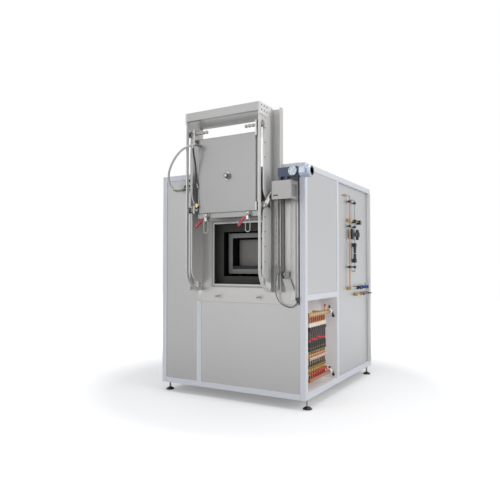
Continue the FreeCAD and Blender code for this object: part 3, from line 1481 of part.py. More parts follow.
def make_power_transformer():
    # two yokes with three wound limbs between them, across the two rear floor beams
    x0 = transformer_left
    x1 = x0 + transformer_depth
    y0 = crossbeams_y[2] - transformer_overhang
    y1 = crossbeams_y[3] + tube + transformer_overhang
    low_top = inner_bottom + transformer_yoke
    high_bottom = inner_bottom + transformer_height - transformer_yoke
    solids = [box(x0, x1, y0, y1, inner_bottom, low_top),
              box(x0, x1, y0, y1, high_bottom, inner_bottom + transformer_height)]
    for part in (1 / 6, 3 / 6, 5 / 6):
        solids.append(rod_z((x0 + x1) / 2, y0 + (y1 - y0) * part, low_top, high_bottom, coil_diameter))
    return group(solids)


def make_water_ports():
    # the fixed end of the door's cooling hose and a spare port, on the left front panel
    front = panel_recess
    nipple, hub = nipple_behind(grey_hose_route[::-1], hose_nipple_length, grey_hose_diameter)
    along = (grey_hose_route[-1] - hub).normalize()
    nut = rod_between(hub + along * 12, hub + along * 26, hose_nut_diameter)
    stem = rod_y(hub.x, hub.y - hose_stem_diameter / 2, front, hub.z, hose_stem_diameter)
    spare_z = hub.z + spare_port_rise
    spare = rod_y(hub.x, hub.y + hose_stem_diameter, front, spare_z, hose_stem_diameter)
    cap = rod_y(hub.x, hub.y + hose_stem_diameter / 2, hub.y + hose_stem_diameter, spare_z,
                hose_nut_diameter)
    return group([stem.fuse([nipple, nut]).removeSplitter(), spare.fuse(cap).removeSplitter()])


def cord(points, diameter, name):
    # straight runs joined by tangent arcs
    edges = []
    start = points[0]
    length = 0.0
    radii = []
    for before, corner, after in zip(points, points[1:], points[2:]):
        into = (corner - before).normalize()
        out = (after - corner).normalize()
        turn = into.getAngle(out)
        cut = 0.45 * min((corner - before).Length, (after - corner).Length)
        radius = cut / math.tan(turn / 2)
        first = corner - into * cut
        last = corner + out * cut
        middle = corner + (out - into).normalize() * (radius / math.cos(turn / 2) - radius)
        edges.append(Part.LineSegment(start, first).toShape())
        edges.append(Part.Arc(first, middle, last).toShape())
        length += (first - start).Length + radius * turn
        start = last
        radii.append(round(radius / diameter, 1))
    edges.append(Part.LineSegment(start, points[-1]).toShape())
    length += (points[-1] - start).Length
    heading = points[1] - points[0]
    profile = Part.Wire(Part.makeCircle(diameter / 2, points[0], heading))
    tube_solid = Part.Wire(edges).makePipeShell([profile], True, False, 0)
    section = math.pi * diameter ** 2 / 4
    print(name, "length", round(length), "radii in diameters", radii,
          "volume ratio", round(tube_solid.Volume / section / length, 4))
    return tube_solid


def main():
    os.makedirs("parts", exist_ok=True)
    nodes = {
        "cabinet_frame": make_cabinet_frame(),
        "levelling_feet": make_feet(),
        "left_front_panel": make_left_front_panel(),
        "lower_front_panel": make_lower_front_panel(),
        "outer_panels": group([make_roof_panel(), make_left_side_panel(), make_rear_panel()]),
        "right_upper_panel": make_right_upper_panel(),
        "gas_panel": make_gas_panel(),
        "manifold_bay": make_manifold_bay(),
        "front_plate": make_front_plate(),
        "door_gasket": make_door_gasket(),
        "furnace_vessel": make_furnace_vessel(),
        "insulation_case": make_insulation_case(),
        "muffle": make_muffle(),
        "process_box": make_process_box(),
        "heating_rods": make_heating_rods(),
        "left_guide_plate": make_guide_plate(guide_left - guide_thickness),
        "right_guide_plate": make_guide_plate(guide_right),
        "tower_posts": make_tower_posts(),
        "tower_head": make_tower_head(),
        "guide_screws": make_guide_screws(),
        "door_panel": make_door_panel(),
        "door_insulation": make_door_insulation(),
        "roller_brackets": make_roller_brackets(),
        "door_fittings": make_door_fittings(),
        "clamp_bases": make_clamp_bases(),
        "lift_link": make_lift_link(),
        "upper_rollers": make_rollers(upper_roller_z),
        "lower_rollers": make_rollers(lower_roller_z),
        "left_clamp_handle": make_clamp_handle(clamp_left_x),
        "right_clamp_handle": make_clamp_handle(clamp_right_x),
        "left_clamp_bail": make_clamp_bail(clamp_left_x),
        "right_clamp_bail": make_clamp_bail(clamp_right_x),
        "drive_box": make_drive_box(),
        "gearbox": make_gearbox(),
        "drive_motor": make_drive_motor(),
        "lift_chain": make_lift_chain(),
        "drive_sprocket": make_sprocket(sprocket_top_z, drive_shaft_span),
        "tension_sprocket": make_sprocket(sprocket_bottom_z, tension_shaft_span),
        "tension_bracket": make_tension_bracket(),
        "cable_duct": make_cable_duct(),
        "supply_manifold": make_supply_manifold(),
        "return_manifold": make_return_manifold(),
        "flow_meters": make_flow_meters(),
        "gas_lines": make_gas_lines(),
        "gas_valves": make_gas_valves(),
        "gas_lever": make_gas_lever(),
        "vacuum_line": make_vacuum_line(),
        "power_transformer": make_power_transformer(),
        "water_ports": make_water_ports(),
        "grey_hose": cord(grey_hose_route, grey_hose_diameter, "grey_hose"),
        "black_hose": cord(black_hose_route, black_hose_diameter, "black_hose"),
        "switch_cable": cord(cable_route, cable_diameter, "switch_cable"),
    }
    for number, y in enumerate(circuits_y):
        nodes["circuit_lever_" + str(number + 1)] = make_circuit_lever(y)
    cords = ("grey_hose", "black_hose", "switch_cable")
    whole = Part.makeCompound([shape for name, shape in nodes.items() if name not in cords])
    bounds = whole.BoundBox
    centre = Vector((bounds.XMin + bounds.XMax) / 2, (bounds.YMin + bounds.YMax) / 2, bounds.ZMin)
    print("bounds", bounds, "moved by", -centre.x, -centre.y, -centre.z)
    for name, shape in nodes.items():
        shape.translate(-centre)
        shape.exportStep("parts/" + name + ".step")
        print(name, len(shape.Solids), shape.isValid(), round(shape.Volume / 1e6, 3))


main()
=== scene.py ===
import math

import bpy
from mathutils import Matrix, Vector


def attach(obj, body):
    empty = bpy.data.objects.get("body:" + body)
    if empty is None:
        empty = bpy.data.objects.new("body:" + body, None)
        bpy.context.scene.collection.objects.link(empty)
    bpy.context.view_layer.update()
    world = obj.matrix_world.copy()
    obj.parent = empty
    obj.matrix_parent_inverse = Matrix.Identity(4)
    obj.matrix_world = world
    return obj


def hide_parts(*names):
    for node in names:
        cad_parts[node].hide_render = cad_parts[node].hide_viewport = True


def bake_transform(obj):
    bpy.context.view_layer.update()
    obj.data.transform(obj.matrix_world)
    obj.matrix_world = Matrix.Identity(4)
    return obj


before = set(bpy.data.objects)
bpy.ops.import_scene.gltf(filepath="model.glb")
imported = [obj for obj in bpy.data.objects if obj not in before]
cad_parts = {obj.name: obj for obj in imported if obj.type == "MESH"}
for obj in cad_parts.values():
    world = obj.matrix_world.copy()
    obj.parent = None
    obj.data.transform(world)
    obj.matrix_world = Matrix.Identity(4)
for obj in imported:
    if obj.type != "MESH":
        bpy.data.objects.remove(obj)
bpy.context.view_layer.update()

# The camera stands to the right of the furnace at chest height and looks slightly upwards.
# Its lens is a short normal one, so the upright edges stay nearly parallel.
camera_place = (2.4685, -4.7521, 1.2159)
camera_turn_left = 29.83
camera_tilt_up = 1.754
camera_lens = 37.29
camera_data = bpy.data.cameras.new("camera")
camera_data.lens = camera_lens
camera_data.sensor_width = 36.0
camera = bpy.data.objects.new("camera", camera_data)
bpy.context.scene.collection.objects.link(camera)
camera.location = camera_place
camera.rotation_euler = (math.radians(90.0 + camera_tilt_up), 0.0, math.radians(camera_turn_left))
bpy.context.scene.camera = camera
bpy.context.scene.view_settings.view_transform = "Standard"

# The hoses and the cable are soft lines between fixed fittings. Each route lists the points
# that pull the curve, in millimetres from the middle of the cabinet's front at the floor.
MM = 0.001
cabinet_middle = Vector((-0.048, -0.758139, 0.0))


def place(x, y, z):
    return cabinet_middle + Vector((x, y, z)) * MM


def pick(piece):
    bpy.ops.object.select_all(action="DESELECT")
    piece.select_set(True)
    bpy.context.view_layer.objects.active = piece


def soft_line(name, route, diameter):
    curve = bpy.data.curves.new(name, "CURVE")
    curve.dimensions = "3D"
    curve.resolution_u = 24
    curve.use_fill_caps = True
    spline = curve.splines.new("NURBS")
    spline.points.add(len(route) - 1)
    for point, spot in zip(spline.points, route):
        point.co = (*place(*spot), 1.0)
    spline.order_u = 3
    spline.use_endpoint_u = True
    line = bpy.data.objects.new(name, curve)
    bpy.context.scene.collection.objects.link(line)
    thin = bpy.data.meshes.new_from_object(line)
    path = [tuple(corner.co) for corner in thin.vertices]
    curve.bevel_depth = diameter / 2 * MM
    curve.bevel_resolution = 5
    pick(line)
    bpy.ops.object.convert(target="MESH")
    bpy.ops.object.shade_smooth()
    return bpy.context.object, path


grey_hose_route = [(-216, -276, 2290), (-290, -277, 2280), (-385, -262, 2230), (-470, -230, 2164),
                   (-540, -186, 2104), (-582, -142, 2046), (-592, -110, 1990), (-562, -82, 1946),
                   (-508, -66, 1938), (-456, -60, 1960)]
black_hose_route = [(-200, -276, 2262), (-202, -262, 2200), (-208, -224, 2120), (-215, -208, 2030),
                    (-219, -209, 1930), (-212, -208, 1845), (-206, -207, 1776)]
cable_route = [(520, -67, 1140), (517, -64, 1088), (506, -52, 1030), (503, -36, 968), (523, -23, 912),
               (568, -16, 876), (622, -14, 862), (668, -14, 873), (690, -14, 908)]
grey_hose, grey_path = soft_line("grey_hose_line", grey_hose_route, 20)
black_hose, black_path = soft_line("black_hose_line", black_hose_route, 16)
cable, cable_path = soft_line("switch_cable_line", cable_route, 8)
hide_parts("black_hose")
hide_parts("switch_cable")
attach(black_hose, "door")
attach(cable, "cabinet")
# the grey hose has one end on the door and one on the cabinet, so it bends between the two
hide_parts("grey_hose")
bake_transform(grey_hose)

# The furnace stands on a plain white floor. The eye sees it as white, and the floor still takes the soft
# shadow under the cabinet.
floor_reach = 14.0
bpy.ops.object.select_all(action="DESELECT")
bpy.ops.mesh.primitive_plane_add(size=floor_reach * 2, location=(0, 0, 0))
floor = bpy.context.object
floor.name = "studio_floor"
floor_paint = bpy.data.materials.new("studio_white")
floor_paint.use_nodes = True
floor_nodes = floor_paint.node_tree.nodes
floor_links = floor_paint.node_tree.links
floor_skin = floor_nodes["Principled BSDF"]
floor_skin.inputs["Base Color"].default_value = (0.78, 0.78, 0.78, 1)
floor_skin.inputs["Roughness"].default_value = 0.9
floor_skin.inputs["Specular IOR Level"].default_value = 0.0
floor_skin.inputs["Emission Color"].default_value = (1, 1, 1, 1)
floor_where = floor_nodes.new("ShaderNodeTexCoord")
floor_way = floor_nodes.new("ShaderNodeVectorMath")
floor_way.operation = "LENGTH"
floor_glow = floor_nodes.new("ShaderNodeMapRange")
floor_glow.inputs["From Min"].default_value = 1.6
floor_glow.inputs["From Max"].default_value = 3.4
floor_glow.inputs["To Min"].default_value = 0.24
floor_glow.inputs["To Max"].default_value = 1.0
floor_path = floor_nodes.new("ShaderNodeLightPath")
floor_seen = floor_nodes.new("ShaderNodeMath")
floor_seen.operation = "MAXIMUM"
# painted reflection: in mirrors the floor takes a darker tone and glows less near its middle, so the lower
# panels show a painted darker reflection
floor_tone = floor_nodes.new("ShaderNodeMix")
floor_tone.data_type = "RGBA"
floor_tone.inputs["A"].default_value = (0.78, 0.78, 0.78, 1)
floor_tone.inputs["B"].default_value = (0.62, 0.62, 0.62, 1)
floor_mirrored = floor_nodes.new("ShaderNodeMapRange")
floor_mirrored.inputs["From Min"].default_value = 1.5
floor_mirrored.inputs["From Max"].default_value = 6.5
floor_mirrored.inputs["To Min"].default_value = 0.30
floor_mirrored.inputs["To Max"].default_value = 0.95
floor_choice = floor_nodes.new("ShaderNodeMix")
floor_shine = floor_nodes.new("ShaderNodeMath")
floor_shine.operation = "MULTIPLY"
floor_links.new(floor_where.outputs["Object"], floor_way.inputs[0])
floor_links.new(floor_way.outputs["Value"], floor_glow.inputs["Value"])
floor_links.new(floor_path.outputs["Is Camera Ray"], floor_seen.inputs[0])
floor_links.new(floor_path.outputs["Is Glossy Ray"], floor_seen.inputs[1])
floor_links.new(floor_seen.outputs[0], floor_shine.inputs[0])
floor_links.new(floor_way.outputs["Value"], floor_mirrored.inputs["Value"])
floor_links.new(floor_path.outputs["Is Glossy Ray"], floor_choice.inputs["Factor"])
floor_links.new(floor_path.outputs["Is Glossy Ray"], floor_tone.inputs["Factor"])
floor_links.new(floor_tone.outputs["Result"], floor_skin.inputs["Base Color"])
floor_links.new(floor_glow.outputs["Result"], floor_choice.inputs["A"])
floor_links.new(floor_mirrored.outputs["Result"], floor_choice.inputs["B"])
floor_links.new(floor_choice.outputs["Result"], floor_shine.inputs[1])
floor_links.new(floor_shine.outputs[0], floor_skin.inputs["Emission Strength"])
floor.data.materials.append(floor_paint)

# The air round the furnace is plain white to the eye and in mirrors and glass. What it sheds on
# the furnace itself is a weaker, slightly cool white.
world = bpy.data.worlds.new("studio_air")
bpy.context.scene.world = world
world.use_nodes = True
air_nodes = world.node_tree.nodes
air_links = world.node_tree.links
light_path = air_nodes.new("ShaderNodeLightPath")
seen_or_mirrored = air_nodes.new("ShaderNodeMath")
seen_or_mirrored.operation = "ADD"
seen = air_nodes.new("ShaderNodeMath")
seen.operation = "ADD"
seen.use_clamp = True
air_links.new(light_path.outputs["Is Camera Ray"], seen_or_mirrored.inputs[0])
air_links.new(light_path.outputs["Is Glossy Ray"], seen_or_mirrored.inputs[1])
air_links.new(seen_or_mirrored.outputs[0], seen.inputs[0])
air_links.new(light_path.outputs["Is Transmission Ray"], seen.inputs[1])
soft_air = air_nodes["Background"]
soft_air.inputs["Color"].default_value = (0.93, 0.95, 1.0, 1)
soft_air.inputs["Strength"].default_value = 0.45
white_air = air_nodes.new("ShaderNodeBackground")
white_air.inputs["Color"].default_value = (1, 1, 1, 1)
white_air.inputs["Strength"].default_value = 1.0
choose_air = air_nodes.new("ShaderNodeMixShader")
air_links.new(seen.outputs[0], choose_air.inputs[0])
air_links.new(soft_air.outputs[0], choose_air.inputs[1])
air_links.new(white_air.outputs[0], choose_air.inputs[2])
air_links.new(choose_air.outputs[0], air_nodes["World Output"].inputs["Surface"])


# Three large soft lamps: one at the right, one overhead and a weak one at the left front. They
# are level enough for a colour to look as it is mixed.
def soft_lamp(name, spot, aim, size, power):
    lamp_data = bpy.data.lights.new(name, "AREA")
    lamp_data.shape = "SQUARE"
    lamp_data.size = size
    lamp_data.energy = power
    lamp = bpy.data.objects.new(name, lamp_data)
    bpy.context.scene.collection.objects.link(lamp)
    lamp.location = spot
    lamp.rotation_euler = (Vector(aim) - Vector(spot)).to_track_quat("-Z", "Y").to_euler()


soft_lamp("lamp_right", (6.5, -1.5, 3.8), (0, 0, 1.0), 3.5, 150)
soft_lamp("lamp_top", (0.5, -1.0, 6.5), (0, 0, 0.8), 5.0, 190)
soft_lamp("lamp_front", (-2.5, -7.0, 3.2), (0, 0, 1.2), 3.5, 60)


# Ground stainless sheet: cold-rolled steel ground upwards with a fine belt, so light smears along the grain.
# Every sheet and plate of the furnace has this finish; some copies are painted lighter or darker to stand
# for the light they catch.
def ground_steel(name, colour, roughness, grain=(260, 260, 7), metallic=0.82):
    steel = bpy.data.materials.new(name)
    steel.use_nodes = True
    nodes = steel.node_tree.nodes
    links = steel.node_tree.links
    skin = nodes["Principled BSDF"]
    skin.inputs["Metallic"].default_value = metallic
    where = nodes.new("ShaderNodeTexCoord")
    stretch = nodes.new("ShaderNodeMapping")
    stretch.inputs["Scale"].default_value = grain
    lines = nodes.new("ShaderNodeTexNoise")
    lines.inputs["Scale"].default_value = 1.0
    lines.inputs["Detail"].default_value = 4.0
    cloud = nodes.new("ShaderNodeTexNoise")
    cloud.inputs["Scale"].default_value = 1.6
    cloud.inputs["Detail"].default_value = 2.0
    shade = nodes.new("ShaderNodeMix")
    shade.data_type = "RGBA"
    dark = [c * 0.88 for c in colour]
    shade.inputs["A"].default_value = (*dark, 1)
    shade.inputs["B"].default_value = (*colour, 1)
    blend = nodes.new("ShaderNodeMath")
    blend.operation = "MULTIPLY_ADD"
    blend.inputs[1].default_value = 0.5
    rough = nodes.new("ShaderNodeMapRange")
    rough.inputs["To Min"].default_value = roughness - 0.07
    rough.inputs["To Max"].default_value = roughness + 0.09
    relief = nodes.new("ShaderNodeBump")
    relief.inputs["Strength"].default_value = 0.12
    relief.inputs["Distance"].default_value = 0.0006
    links.new(where.outputs["Object"], stretch.inputs["Vector"])
    links.new(stretch.outputs["Vector"], lines.inputs["Vector"])
    links.new(where.outputs["Object"], cloud.inputs["Vector"])
    links.new(cloud.outputs["Fac"], blend.inputs[0])
    links.new(lines.outputs["Fac"], blend.inputs[2])
    links.new(blend.outputs[0], shade.inputs["Factor"])
    links.new(shade.outputs["Result"], skin.inputs["Base Color"])
    links.new(lines.outputs["Fac"], rough.inputs["Value"])
    links.new(rough.outputs["Result"], skin.inputs["Roughness"])
    links.new(lines.outputs["Fac"], relief.inputs["Height"])
    links.new(relief.outputs["Normal"], skin.inputs["Normal"])
    return steel


def dress(node, material, edge=0.0):
    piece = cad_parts[node]
    piece.data.materials.clear()
    piece.data.materials.append(material)
    if edge > 0:
        weld = piece.modifiers.new("weld", "WELD")
        weld.merge_threshold = 0.00001
        bevel = piece.modifiers.new("soft_edge", "BEVEL")
        bevel.width = edge
        bevel.segments = 2
        bevel.limit_method = "ANGLE"
        bevel.angle_limit = math.radians(40)


# the side sheets are a lighter copy of the front sheet, painted light where the right lamp falls, and the
# left panel's sheet is a darker copy, painted shade
front_sheet = ground_steel("front_sheet", (0.445, 0.44, 0.44), 0.40)
shaded_left_sheet = ground_steel("shaded_left_sheet", (0.415, 0.41, 0.41), 0.40)
lit_side_sheet = ground_steel("lit_side_sheet", (0.545, 0.55, 0.555), 0.42)
dress("left_front_panel", shaded_left_sheet, 0.001)
dress("lower_front_panel", front_sheet, 0.001)
for node in ["right_upper_panel", "gas_panel", "outer_panels"]:
    dress(node, lit_side_sheet, 0.001)
plate_steel = ground_steel("plate_steel", (0.45, 0.445, 0.435), 0.36)
dress("front_plate", plate_steel, 0.001)

# The cabinet frame is welded square tube with a pale blue-white powder coat. The coat has a faint orange
# peel and a tone that shifts a little in patches.
frame_coat = bpy.data.materials.new("frame_coat")
frame_coat.use_nodes = True
coat_nodes = frame_coat.node_tree.nodes
coat_links = frame_coat.node_tree.links
coat_skin = coat_nodes["Principled BSDF"]
coat_skin.inputs["Roughness"].default_value = 0.38
coat_where = coat_nodes.new("ShaderNodeTexCoord")
peel = coat_nodes.new("ShaderNodeTexNoise")
peel.inputs["Scale"].default_value = 420.0
peel_relief = coat_nodes.new("ShaderNodeBump")
peel_relief.inputs["Strength"].default_value = 0.08
peel_relief.inputs["Distance"].default_value = 0.0004
patch = coat_nodes.new("ShaderNodeTexNoise")
patch.inputs["Scale"].default_value = 2.5
coat_shade = coat_nodes.new("ShaderNodeMix")
coat_shade.data_type = "RGBA"
coat_shade.inputs["A"].default_value = (0.66, 0.68, 0.72, 1)
coat_shade.inputs["B"].default_value = (0.71, 0.73, 0.77, 1)
coat_links.new(coat_where.outputs["Object"], peel.inputs["Vector"])
coat_links.new(coat_where.outputs["Object"], patch.inputs["Vector"])
coat_links.new(peel.outputs["Fac"], peel_relief.inputs["Height"])
coat_links.new(peel_relief.outputs["Normal"], coat_skin.inputs["Normal"])
coat_links.new(patch.outputs["Fac"], coat_shade.inputs["Factor"])
coat_links.new(coat_shade.outputs["Result"], coat_skin.inputs["Base Color"])
dress("cabinet_frame", frame_coat, 0.003)

# Coats, plastics, rubbers and castings share one recipe: two noises that shift the colour in
# patches and in fine specks, and a bump of the same fine grain.
def coat(name, colour, roughness, grain=300.0, relief=0.1, metallic=0.0, uneven=0.12, gloss=0.5):
    skin_stuff = bpy.data.materials.new(name)
    skin_stuff.use_nodes = True
    nodes = skin_stuff.node_tree.nodes
    links = skin_stuff.node_tree.links
    skin = nodes["Principled BSDF"]
    skin.inputs["Metallic"].default_value = metallic
    skin.inputs["Specular IOR Level"].default_value = gloss
    where = nodes.new("ShaderNodeTexCoord")
    specks = nodes.new("ShaderNodeTexNoise")
    specks.inputs["Scale"].default_value = grain
    specks.inputs["Detail"].default_value = 3.0
    patches = nodes.new("ShaderNodeTexNoise")
    patches.inputs["Scale"].default_value = 6.0
    patches.inputs["Detail"].default_value = 3.0
    mixed = nodes.new("ShaderNodeMath")
    mixed.operation = "MULTIPLY_ADD"
    mixed.inputs[1].default_value = 0.6
    shade = nodes.new("ShaderNodeMix")
    shade.data_type = "RGBA"
    shade.inputs["A"].default_value = (*[c * (1 - uneven) for c in colour], 1)
    shade.inputs["B"].default_value = (*[min(1, c * (1 + uneven)) for c in colour], 1)
    rough = nodes.new("ShaderNodeMapRange")
    rough.inputs["To Min"].default_value = max(0.04, roughness - 0.08)
    rough.inputs["To Max"].default_value = min(1.0, roughness + 0.08)
    bump = nodes.new("ShaderNodeBump")
    bump.inputs["Strength"].default_value = relief
    bump.inputs["Distance"].default_value = 0.0008
    links.new(where.outputs["Object"], specks.inputs["Vector"])
    links.new(where.outputs["Object"], patches.inputs["Vector"])
    links.new(patches.outputs["Fac"], mixed.inputs[0])
    links.new(specks.outputs["Fac"], mixed.inputs[2])
    links.new(mixed.outputs[0], shade.inputs["Factor"])
    links.new(shade.outputs["Result"], skin.inputs["Base Color"])
    links.new(patches.outputs["Fac"], rough.inputs["Value"])
    links.new(rough.outputs["Result"], skin.inputs["Roughness"])
    links.new(specks.outputs["Fac"], bump.inputs["Height"])
    links.new(bump.outputs["Normal"], skin.inputs["Normal"])
    return skin_stuff


# The levelling feet: a domed black pad, a threaded spindle and a jam nut under each corner.
# Turned pieces grow ring by ring from their foot; each ring is a radius and a height.
def seat(piece, spot, axis, material, body):
    piece.rotation_euler = Vector(axis).to_track_quat("Z", "Y").to_euler()
    piece.location = spot
    pick(piece)
    bpy.ops.object.transform_apply(location=True, rotation=True, scale=True)
    bpy.ops.object.mode_set(mode="EDIT")
    bpy.ops.mesh.select_all(action="SELECT")
    bpy.ops.mesh.normals_make_consistent(inside=False)
    bpy.ops.mesh.select_all(action="DESELECT")
    bpy.ops.mesh.edges_select_sharp(sharpness=math.radians(32))
    bpy.ops.mesh.mark_sharp()
    bpy.ops.object.mode_set(mode="OBJECT")
    bpy.ops.object.shade_smooth()
    piece.data.materials.clear()
    piece.data.materials.append(material)
    if body:
        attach(piece, body)
    return piece


def turned(name, rings, spot, axis, material, body, sides=28):
    bpy.ops.object.select_all(action="DESELECT")
    radius, height = rings[0]
    bpy.ops.mesh.primitive_circle_add(vertices=sides, radius=radius * MM, fill_type="NGON")
    piece = bpy.context.object
    piece.name = name
    bpy.ops.object.mode_set(mode="EDIT")
    bpy.ops.mesh.select_all(action="SELECT")
    bpy.ops.transform.translate(value=(0, 0, height * MM))
    for next_radius, next_height in rings[1:]:
        rise = (next_height - height) * MM
        bpy.ops.mesh.extrude_region_move(TRANSFORM_OT_translate={"value": (0, 0, rise)})
        bpy.ops.transform.resize(value=(next_radius / radius, next_radius / radius, 1))
        radius = next_radius
        height = next_height
    bpy.ops.object.mode_set(mode="OBJECT")
    return seat(piece, spot, axis, material, body)


def block(name, low, high, edge, material, body):
    bpy.ops.object.select_all(action="DESELECT")
    bpy.ops.mesh.primitive_cube_add(size=1.0)
    piece = bpy.context.object
    piece.name = name
    low = place(*low)
    high = place(*high)
    bpy.ops.transform.resize(value=high - low)
    bpy.ops.object.transform_apply(location=False, rotation=False, scale=True)
    bpy.ops.object.mode_set(mode="EDIT")
    bpy.ops.mesh.select_all(action="SELECT")
    bpy.ops.mesh.bevel(offset=edge * MM, segments=2, affect="EDGES")
    bpy.ops.object.mode_set(mode="OBJECT")
    return seat(piece, (low + high) / 2, (0, 0, 1), material, body)


def joined(name, pieces, body):
    bpy.ops.object.select_all(action="DESELECT")
    for piece in pieces:
        piece.select_set(True)
    bpy.context.view_layer.objects.active = pieces[0]
    bpy.ops.object.join()
    whole = bpy.context.object
    whole.name = name
    if body:
        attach(whole, body)
    return whole


def copied(piece, shifts):
    # the piece and a twin for every shift in millimetres, each twin with a mesh of its own
    pieces = [piece]
    for shift in shifts:
        pick(piece)
        bpy.ops.object.duplicate()
        twin = bpy.context.object
        twin.location = Vector(shift) * MM
        bpy.ops.object.transform_apply(location=True, rotation=False, scale=False)
        pieces.append(twin)
    return pieces


black_rubber = coat("black_rubber", (0.012, 0.012, 0.013), 0.45, grain=500, relief=0.15)
zinc = coat("zinc_plate", (0.50, 0.49, 0.47), 0.30, grain=240, metallic=0.9, uneven=0.10)
foot_x = 735
foot_front = 92
foot_rear = 1753
thread = [(10.0 - 1.2 * (step % 2), 22.0 + 1.6 * step) for step in range(36)]
corner = place(-foot_x, foot_front, 0)
other_corners = [(2 * foot_x * right, (foot_rear - foot_front) * rear, 0)
                 for right, rear in ((0, 1), (1, 0), (1, 1))]
pad = turned("foot_pad", [(38, 0), (40, 2), (40, 5), (38, 9), (30, 16), (19, 21), (16, 26)], corner,
             (0, 0, 1), black_rubber, None, 32)
spindle = turned("foot_spindle", thread, corner, (0, 0, 1), zinc, None, 16)
nut = turned("foot_nut", [(15, 78), (17, 80), (17, 88), (15, 90)], corner, (0, 0, 1), zinc, None, 6)
pads = joined("foot_pads", copied(pad, other_corners), "cabinet")
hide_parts("levelling_feet")
joined("foot_spindles", copied(spindle, other_corners) + copied(nut, other_corners), "cabinet")

# The hot zone: graphite board lining with a lip, the mid-grey muffle and the brown-grey box in it. The
# vessel wall is painted near black, and the lining and muffle are painted near black behind their front
# lips, all painted shade; the lips keep their own colour.
def paint_depth_shade(material, front, lip, shade):
    # painted shade: everything deeper than its front lip is darkened to the given shade, as far back as the
    # chamber goes
    nodes = material.node_tree.nodes
    links = material.node_tree.links
    skin = nodes["Principled BSDF"]
    where = nodes.new("ShaderNodeTexCoord")
    axes = nodes.new("ShaderNodeSeparateXYZ")
    depth = nodes.new("ShaderNodeMapRange")
    depth.inputs["From Min"].default_value = place(0, front, 0).y
    depth.inputs["From Max"].default_value = place(0, front + lip, 0).y
    dim = nodes.new("ShaderNodeMix")
    dim.data_type = "RGBA"
    dim.inputs["B"].default_value = (shade, shade, shade, 1)
    links.new(where.outputs["Object"], axes.inputs[0])
    links.new(axes.outputs["Y"], depth.inputs["Value"])
    links.new(depth.outputs["Result"], dim.inputs["Factor"])
    links.new(skin.inputs["Base Color"].links[0].from_socket, dim.inputs["A"])
    links.new(dim.outputs["Result"], skin.inputs["Base Color"])


def zoned(material, zones):
    # each zone is a box with a colour and a metal share of its own
    nodes = material.node_tree.nodes
    links = material.node_tree.links
    skin = nodes["Principled BSDF"]
    where = nodes.new("ShaderNodeTexCoord")
    metal = nodes.new("ShaderNodeValue")
    metal.outputs[0].default_value = skin.inputs["Metallic"].default_value
    links.new(metal.outputs[0], skin.inputs["Metallic"])
    for low, high, colour, share in zones:
        low = place(*low)
        high = place(*high)
        offset = nodes.new("ShaderNodeVectorMath")
        offset.operation = "SUBTRACT"
        offset.inputs[1].default_value = (low + high) / 2
        reach = nodes.new("ShaderNodeVectorMath")
        reach.operation = "ABSOLUTE"
        beyond = nodes.new("ShaderNodeVectorMath")
        beyond.operation = "SUBTRACT"
        beyond.inputs[1].default_value = (high - low) / 2
        axes = nodes.new("ShaderNodeSeparateXYZ")
        widest = nodes.new("ShaderNodeMath")
        widest.operation = "MAXIMUM"
        farthest = nodes.new("ShaderNodeMath")
        farthest.operation = "MAXIMUM"
        inside = nodes.new("ShaderNodeMath")
        inside.operation = "LESS_THAN"
        inside.inputs[1].default_value = 0.0
        tint = nodes.new("ShaderNodeMix")
        tint.data_type = "RGBA"
        tint.inputs["B"].default_value = (*colour, 1)
        shift = nodes.new("ShaderNodeMix")
        shift.inputs["B"].default_value = share
        links.new(where.outputs["Object"], offset.inputs[0])
        links.new(offset.outputs[0], reach.inputs[0])
        links.new(reach.outputs[0], beyond.inputs[0])
        links.new(beyond.outputs[0], axes.inputs[0])
        links.new(axes.outputs["X"], widest.inputs[0])
        links.new(axes.outputs["Y"], widest.inputs[1])
        links.new(widest.outputs[0], farthest.inputs[0])
        links.new(axes.outputs["Z"], farthest.inputs[1])
        links.new(farthest.outputs[0], inside.inputs[0])
        links.new(inside.outputs[0], tint.inputs["Factor"])
        links.new(skin.inputs["Base Color"].links[0].from_socket, tint.inputs["A"])
        links.new(tint.outputs["Result"], skin.inputs["Base Color"])
        links.new(inside.outputs[0], shift.inputs["Factor"])
        links.new(skin.inputs["Metallic"].links[0].from_socket, shift.inputs["A"])
        links.new(shift.outputs["Result"], skin.inputs["Metallic"])
    return material


# the vessel's steel is painted near black: painted shade inside the chamber
vessel_painted_shade = coat("vessel_painted_shade", (0.03, 0.03, 0.03), 0.5, grain=90, metallic=0.4)
board = coat("graphite_board", (0.072, 0.074, 0.068), 0.95, grain=160, relief=0.5, uneven=0.35, gloss=0.1)
muffle_stuff = coat("muffle_graphite", (0.33, 0.33, 0.325), 0.8, grain=220, relief=0.3, uneven=0.2,
                    gloss=0.2)
box_alloy = coat("box_alloy", (0.29, 0.275, 0.255), 0.6, grain=140, relief=0.25, metallic=0.1, uneven=0.16)
paint_depth_shade(board, 91, 6, 0.006)
paint_depth_shade(muffle_stuff, 181, 5, 0.008)
zoned(box_alloy, [((-100, 100, 1100), (300, 700, 1216.5), (0.012, 0.012, 0.012), 0.0)])
dress("furnace_vessel", vessel_painted_shade)
dress("insulation_case", board, 0.003)
dress("door_insulation", board, 0.003)
dress("muffle", muffle_stuff, 0.003)
dress("heating_rods", muffle_stuff)
dress("process_box", box_alloy, 0.002)
dress("door_gasket", coat("seal_silicone", (0.37, 0.365, 0.355), 0.55, grain=260), 0.0015)
dress("vacuum_line", coat("suction_steel", (0.50, 0.50, 0.50), 0.35, grain=200, metallic=0.85), 0.001)
dress("power_transformer", coat("core_varnish", (0.05, 0.035, 0.03), 0.4, grain=120, relief=0.4), 0.002)
dress("manifold_bay", coat("bay_paint", (0.78, 0.76, 0.76), 0.5, grain=380), 0.001)

